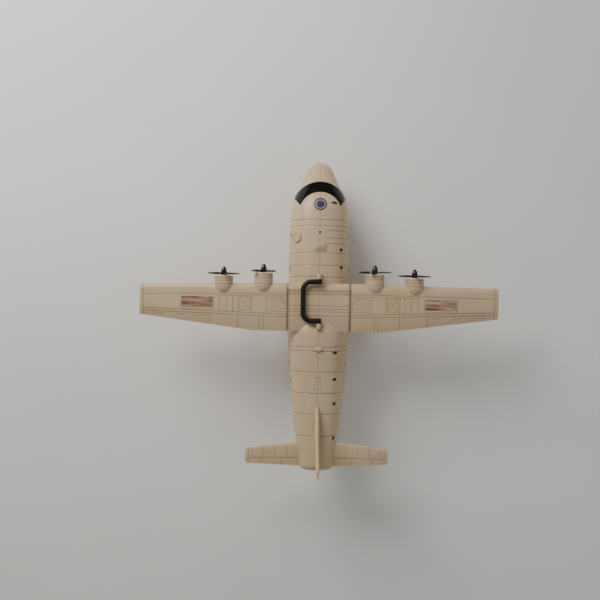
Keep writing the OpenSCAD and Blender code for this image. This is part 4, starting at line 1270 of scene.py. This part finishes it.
def cargo_ramp():
    """Piece of the belly skin with tread bars inside, grooves outside and two hinge lugs."""
    xs = np.linspace(-RAMP_HALF, RAMP_HALF, 61)
    st = np.linspace(*RAMP_ST, 135)
    station, x = np.meshgrid(st, xs, indexing="ij")
    z = low_skin(station, x)
    under = np.stack([x, y_at(station), z], -1)
    depth = box_line(station, x, 448, 566, -23, 23, 0.8, 0.4, corner=4)
    depth = np.maximum(depth, tri_line(x, 0.7, 0.35) * band(station, 448, 566))
    under, dark = engrave(under, depth, np.array([0, 0, -1]))
    bars = np.clip(1.4 - np.abs((station % 7.0) - 3.5), 0, 1) * band(np.abs(x), -1, 22) * band(
        station, 456, 568)
    rails = np.clip(1.6 - np.abs(np.abs(x) - 26.0), 0, 1) * band(station, 452, 570)
    over = np.stack([x, y_at(station), z + WALL + 0.9 * np.maximum(bars, rails)], -1)
    piece = Piece()
    piece.grid(under, dark)
    piece.grid(over, flip=True)
    piece.join(under, over, (FRONT, BACK, INNER, OUTER))
    for x0, x1 in ((-28, -20), (20, 28)):
        lug = np.concatenate([[[1.55, x0]], arc(2.5, x0 + 0.5, 0.5, -90, 0, 4),
                              arc(2.5, x1 - 0.5, 0.5, 0, 90, 4), [[1.55, x1], [1.55, x0]]])
        revolve(piece, lug, np.array([0, y_at(HINGE_ST), HINGE_Z]), "X", 36)
        low = (x0, y_at(HINGE_ST + 9), HINGE_Z - 3.6)
        add_box(piece, low, (x1, y_at(HINGE_ST) - 1.7, HINGE_Z + 1.6), 0.5)
    piece.build("cargo_ramp_panel", [SAND], "ramp", "cargo_ramp", weld=0.001)


# ---------------------------------------------------------------- wheel fairings
SPONSON_BALLS = ((58.0, 17.0, 9.0, 12, 76), (62.0, 22.0, 11.5, 14, 74), (54.0, 57.0, 8.0, 20, 64))
SPONSON_END = 338.0
MAIN_X, MAIN_R = 66.0, 13.0
MAIN_ST = (268.0, 312.0)


def skin_half_width(station, z):
    """Half width of the fuselage at a height, or 0 above or below it."""
    mid = (crown(station) + belly(station)) / 2
    high = np.where(z > mid, crown(station) - mid, mid - belly(station))
    n = np.where(z > mid, UP_N, LOW_N)
    share = np.clip(np.abs(z - mid) / high, 0, 1)
    return half_w(station) * (1 - share ** n) ** (1 / n)


def sponson(side_name, mirror):
    """Hull over six balls, hollowed for the wheels and moulded against the fuselage's side."""
    balls = np.array([(x, y_at(SPONSON_END) + y, z, r) for x, z, r, *ys in SPONSON_BALLS for y in ys])
    theta = np.linspace(0, np.pi, 41)
    phi = np.linspace(0, 2 * np.pi, 81)[:-1]
    t, f = np.meshgrid(theta, phi, indexing="ij")
    normal = np.stack([np.sin(t) * np.cos(f), np.cos(t), np.sin(t) * np.sin(f)], -1)
    best = np.argmax(normal @ balls[:, :3].T + balls[:, 3], -1)
    hull = balls[best, :3] + balls[best, 3:] * normal
    bm = bmesh.new()
    verts = [bm.verts.new(p) for p in hull.reshape(-1, 3)]
    for face in grid_faces(41, 80, wrap=True):
        bm.faces.new([verts[i] for i in face])
    bmesh.ops.remove_doubles(bm, verts=bm.verts, dist=0.05)
    for _ in range(6):
        bmesh.ops.triangulate(bm, faces=bm.faces)
        long_edges = [e for e in bm.edges if e.calc_length() > 2.6]
        if not long_edges:
            break
        bmesh.ops.subdivide_edges(bm, edges=long_edges, cuts=1)
    bmesh.ops.triangulate(bm, faces=bm.faces)
    bm.verts.index_update()
    points = np.array([tuple(v.co) for v in bm.verts])
    faces = [[v.index for v in face.verts] for face in bm.faces]
    bm.normal_update()
    normals = np.array([tuple(v.normal) for v in bm.verts])
    bm.free()
    station, z = HALF_L - points[:, 1], points[:, 2]
    depth = tri_line(z - 40, 1.3, 0.4) + box_line(station, z, 262, 306, 44, 58, 1.3, 0.4, corner=2)
    depth *= points[:, 0] > 60
    outward = np.sign((normals * (points - [58, y_at(294), 36])).sum(1))
    points = points - normals * (depth * outward)[:, None]
    dark = np.clip(depth / 0.4, 0, 1)
    skin = skin_half_width(station, z)
    points[:, 0] = np.maximum(points[:, 0], skin + 0.02)
    well = MAIN_R + 16.0
    for st in MAIN_ST:
        def field(p, st=st):
            return np.where(p[:, 2] < well + 6, np.maximum(
                np.abs(p[:, 0] - MAIN_X) - 5.5, np.abs(p[:, 1] - y_at(st)) - MAIN_R - 1), 9)
        points, dark, faces, edges = clip(points, dark, faces, field(points))
        points, dark, faces = add_rim(points, dark, faces, edges, lambda p: np.array([0, 0, well - p[2]]))
    points, dark, faces = compact(points, dark, faces)
    piece = Piece()
    piece.add(points, faces, dark)
    for st in MAIN_ST:
        y0, y1 = y_at(st) - MAIN_R - 1, y_at(st) + MAIN_R + 1
        corners = [(MAIN_X - 5.5, y0, well), (MAIN_X + 5.5, y0, well), (MAIN_X + 5.5, y1, well),
                   (MAIN_X - 5.5, y1, well)]
        # groove value 1 gives the wells' floors the lines' dark colour: painted shade
        piece.add(corners, [[0, 1, 2, 3]], np.ones(4))
    piece.build(f"sponson_{side_name}_fairing", [SAND], "airframe", f"sponson_{side_name}",
                mirror=mirror)


# ---------------------------------------------------------------- tail
FIN_LE = np.array([[0, 0], [8, 8], [16, 21], [25, 38], [36, 52], [51, 62], [67, 72], [84, 82.5],
                   [118, 104]], float)
FIN_ST, FIN_END_ST, FIN_Z, FIN_H = 483.0, 613.0, 143.6, 118.0
FIN_FLAT, FIN_TAIL = 0.55, 0.25


def fin_lead(v):
    heights, back = FIN_LE[:, 0], FIN_LE[:, 1]
    lo = np.maximum(np.arange(len(heights)) - 1, 0)
    hi = np.minimum(np.arange(len(heights)) + 1, len(heights) - 1)
    slope = (back[hi] - back[lo]) / (heights[hi] - heights[lo])
    i = np.clip(np.searchsorted(heights, v, side="right") - 1, 0, len(heights) - 2)
    h = heights[i + 1] - heights[i]
    t = (v - heights[i]) / h
    u = 1 - t
    curve_v = (u * u * (1 + 2 * t) * back[i] + t * u * u * h * slope[i]
               + t * t * (3 - 2 * t) * back[i + 1] - t * t * u * h * slope[i + 1])
    return y_at(FIN_ST) - curve_v


def fin_surface(v, p, inset=0.0):
    """Point of the fin's right side at a height and a share of the chord."""
    top = np.sqrt(np.clip(1 - (np.maximum(v - FIN_H + 8, 0) / 8) ** 2, 0, 1))
    te = y_at(FIN_END_ST) + 4 * v / FIN_H
    le = np.maximum(fin_lead(v) - 9 * (1 - top), te + 0.15 * FIN_H)
    half = (5 - 1.8 * v / FIN_H) * np.maximum(top, 0.15)
    shape = np.interp(p, [0, 0.02, 0.05, 0.08, 0.13, 0.2, FIN_FLAT, 1],
                      [0, 0.45, 0.66, 0.8, 0.92, 1, 1, FIN_TAIL])
    return np.stack([half * shape - inset, le + (te - le) * p, FIN_Z + v + 0 * p], -1)


def fin_half(side_name, mirror):
    heights = np.concatenate([np.arange(0.05, 110, 1.1), np.linspace(110.5, FIN_H, 12)])
    shares = np.concatenate([[0, 0.008, 0.02, 0.035, 0.05, 0.065], np.linspace(0.08, 1, 96)])
    v, p = np.meshgrid(heights, shares, indexing="ij")
    points = fin_surface(v, p)
    back = y_at(FIN_ST) - points[..., 1]
    te_dist = 130 - 4 * v / FIN_H - back
    depth = tri_line(te_dist - 30 + 8 * v / FIN_H, 0.8, 0.45) * band(v, 12, 112)
    depth = np.maximum(depth, tri_line(te_dist - 46 + 16 * v / FIN_H, 0.7, 0.35) * band(v, 12, 112))
    for height in (12, 40, 68, 96):
        slant = height - 0.12 * (back - 100)
        depth = np.maximum(depth, tri_line(v - slant, 0.75, 0.4) * band(back, 30, 130))
    depth = np.maximum(depth, segment_line(back, v, 30, 8, 96, 34, 0.8, 0.38))
    depth *= np.clip((p - 0.05) / 0.05, 0, 1)
    points, dark = engrave(points, depth, np.array([1, 0, 0]))
    inner = points.copy()
    inner[..., 0] = 0
    piece = Piece()
    piece.grid(points, dark)
    piece.join(points, inner, (FRONT, BACK, OUTER))
    piece.grid(np.stack([inner[INNER], inner[OUTER]], 1), flip=True)
    turn = np.linspace(-np.pi / 2, np.pi / 2, 25)
    levels = ((PEG_R - 1.2, -14), (PEG_R - 0.3, -13.6), (PEG_R, -12.6), (PEG_R, 0.3))
    peg = np.stack([np.stack([r * np.cos(turn), y_at(PEG_ST) + r * np.sin(turn),
                              np.full(25, FIN_Z + z)], -1) for r, z in levels])
    piece.grid(peg)
    piece.cap(peg[0], flip=True)
    piece.cap(peg[-1])
    piece.grid(np.stack([peg[:, 0], peg[:, -1]], 1))
    add_box(piece, (0.0, y_at(TAB_ST[1]), FIN_Z - 12), (3.0, y_at(TAB_ST[0]), FIN_Z + 0.3), 0.5)
    piece.build(f"fin_{side_name}_shell", [SAND], "tail_fin", f"fin_{side_name}_half",
                mirror=mirror, weld=0.001)


def fin_label_point(side):
    v0, y0 = 52.0, y_at(FIN_ST + 114)

    def place(r, a):
        y, v = y0 + r * math.cos(a), v0 + r * math.sin(a)
        le, te = float(fin_lead(np.array(v))), y_at(FIN_END_ST) + 4 * v / FIN_H
        x = float(fin_surface(np.array(v), np.array((le - y) / (le - te)))[0])
        return np.array([[side * (x + 0.3), y, FIN_Z + v], [side * (x + 0.03), y, FIN_Z + v]])
    return place


STAB_ST, STAB_Z, STAB_X = (559.0, 609.0), 122.0, (37.5, 144.0)


def stabiliser(side_name, mirror):
    """Half of the tailplane with a hinge line, ribs and a rounded tip."""
    xs = np.concatenate([np.arange(34.0, 138, 1.1), np.linspace(138.4, STAB_X[1], 12)])
    x, a = np.meshgrid(xs, np.linspace(0, np.pi, 80), indexing="ij")
    out = np.clip((x - 31.5) / (136 - 31.5), 0, 1)
    tip = np.sqrt(np.clip(1 - (np.maximum(x - 137, 0) / 7.2) ** 2, 0.02, 1))
    p = (1 - np.cos(a)) / 2
    le = STAB_ST[0] + 14 * out + 7 * (1 - tip)
    te = STAB_ST[1] - 4 * out - 5 * (1 - tip)
    half = (4.2 - 1.4 * out) * (0.25 + 0.75 * tip)
    shape = np.interp(p, [0, 0.03, 0.12, 0.3, 0.6, 0.8, 1], [0, 0.5, 0.85, 1, 0.85, 0.62, 0.3])
    station = le + (te - le) * p
    piece = Piece()
    skins = []
    for side in (1, -1):
        points = np.stack([x, y_at(station), STAB_Z + side * half * shape], -1)
        depth = tri_line(p - 0.66, 0.02, 0.4) * band(x, 36, 137)
        for rib in (60, 84, 108, 130):
            depth = np.maximum(depth, tri_line(x - rib, 0.75, 0.38) * (p < 0.66))
        for rib in (72, 112):
            depth = np.maximum(depth, tri_line(x - rib, 0.75, 0.38) * (p > 0.66))
        depth = np.maximum(depth, tri_line(x - 137, 0.75, 0.38))
        points, dark = engrave(points, depth * (p > 0.05), np.array([0, 0, side]))
        piece.grid(points, dark, flip=side < 0)
        skins.append(points)
    piece.join(*skins, (FRONT, BACK, OUTER))
    piece.build(f"stabiliser_{side_name}_half", [SAND], "airframe", f"stabiliser_{side_name}",
                mirror=mirror, weld=0.001)


windscreen()
roundel("nose_emblem_label", "nose_emblem", "airframe", emblem_point, 12.9)
for name, mirror in (("right", False), ("left", True)):
    wing_label(name, mirror)
    sponson(name, mirror)
    stabiliser(name, mirror)
    fin_half(name, mirror)
for i in range(4):
    cowl(i)
    propeller(i)
    place = np.array([(-1, 1, -1, 1)[i] * MAIN_X, y_at(MAIN_ST[i // 2]), MAIN_R])
    wheel(f"main_tyre_{i + 1}", f"main_wheel_{i + 1}", f"main_wheel_{i + 1}", place, MAIN_R, 9.0, 1.55)
for name, x in (("left", -8.3), ("right", 8.3)):
    wheel(f"nose_tyre_{name}", f"nose_wheel_{name}", "nose_wheels", np.array([x, y_at(84.0), 9.5]), 9.5,
          7.0, 1.5)
sound_button()
carry_handle()
bracket("handle_post_front", "handle_bracket_front", y_at(231.7), y_at(220.7),
        float(crown(226.0)) - 0.6)
bracket("handle_post_rear", "handle_bracket_rear", y_at(331.3), y_at(320.3), SPLIT_Z + 7.5)
top_hatch()
blister()
cargo_ramp()
for name, side in (("right", 1), ("left", -1)):
    roundel(f"fin_label_{name}", "fin_decals", "tail_fin", fin_label_point(side), 7.9)


# ---------------------------------------------------------------- stage and light
def make_stage():
    size = 4.0
    mesh = bpy.data.meshes.new("floor")
    mesh.from_pydata([(-size, -size, 0), (size, -size, 0), (size, size, 0), (-size, size, 0)], [],
                     [(0, 1, 2, 3)])
    floor = bpy.data.objects.new("floor", mesh)
    bpy.context.collection.objects.link(floor)
    s = Shader("floor_paint")
    tone = s.ramp(s.noise(2.5, 3), [(0.3, srgb(240, 238, 234)), (0.7, srgb(246, 244, 240))])
    mesh.materials.append(s.finish(tone, None, Roughness=0.7))


def area_light(name, location, target, size, power, colour=(1, 1, 1)):
    light = bpy.data.lights.new(name, "AREA")
    light.shape = "RECTANGLE"
    light.size, light.size_y = size
    light.energy = power
    light.color = colour
    obj = bpy.data.objects.new(name, light)
    obj.location = location
    direction = np.array(target) - np.array(location)
    obj.rotation_euler = Vector(direction).to_track_quat("-Z", "Y").to_euler()
    bpy.context.collection.objects.link(obj)


make_stage()
area_light("key", (-1.0, 1.35, 1.2), (0, 0, 0.1), (1.2, 0.9), 34, (1.0, 0.97, 0.94))
area_light("fill", (1.6, -0.4, 1.6), (0, 0, 0.1), (1.4, 1.4), 3.5, (0.96, 0.98, 1.0))
world = bpy.data.worlds.new("studio")
world.use_nodes = True
world.node_tree.nodes["Background"].inputs["Color"].default_value = (0.80, 0.80, 0.79, 1)
world.node_tree.nodes["Background"].inputs["Strength"].default_value = 0.36
bpy.context.scene.world = world

# ---------------------------------------------------------------- the CAD nodes that stay
BOARD = dark_plastic("board_green", srgb(22, 82, 44), srgb(32, 104, 58), (0.3, 0.42))
LENS = moulded("lamp_lens", srgb(226, 220, 190), srgb(208, 200, 166), srgb(150, 140, 110),
               rough=(0.08, 0.14))
NODE_LOOKS = {
    "sand_plastic": SAND, "black_handle": HANDLE, "black_propeller": PROP,
    "windscreen_black": GLOSS, "wheel_black": TYRE, "steel": STEEL, "inner_black": INNER_BLACK,
    "board_green": BOARD, "lamp_lens": LENS, "emblem_print": LABEL, "wing_print": LABEL,
}
slots = {row["node"]: row["material_slot"] for row in frame["record"]["subparts"]}
for name, obj in frame["nodes"].items():
    look = NODE_LOOKS.get(slots[name], SAND)
    for slot in obj.material_slots:
        slot.material = look
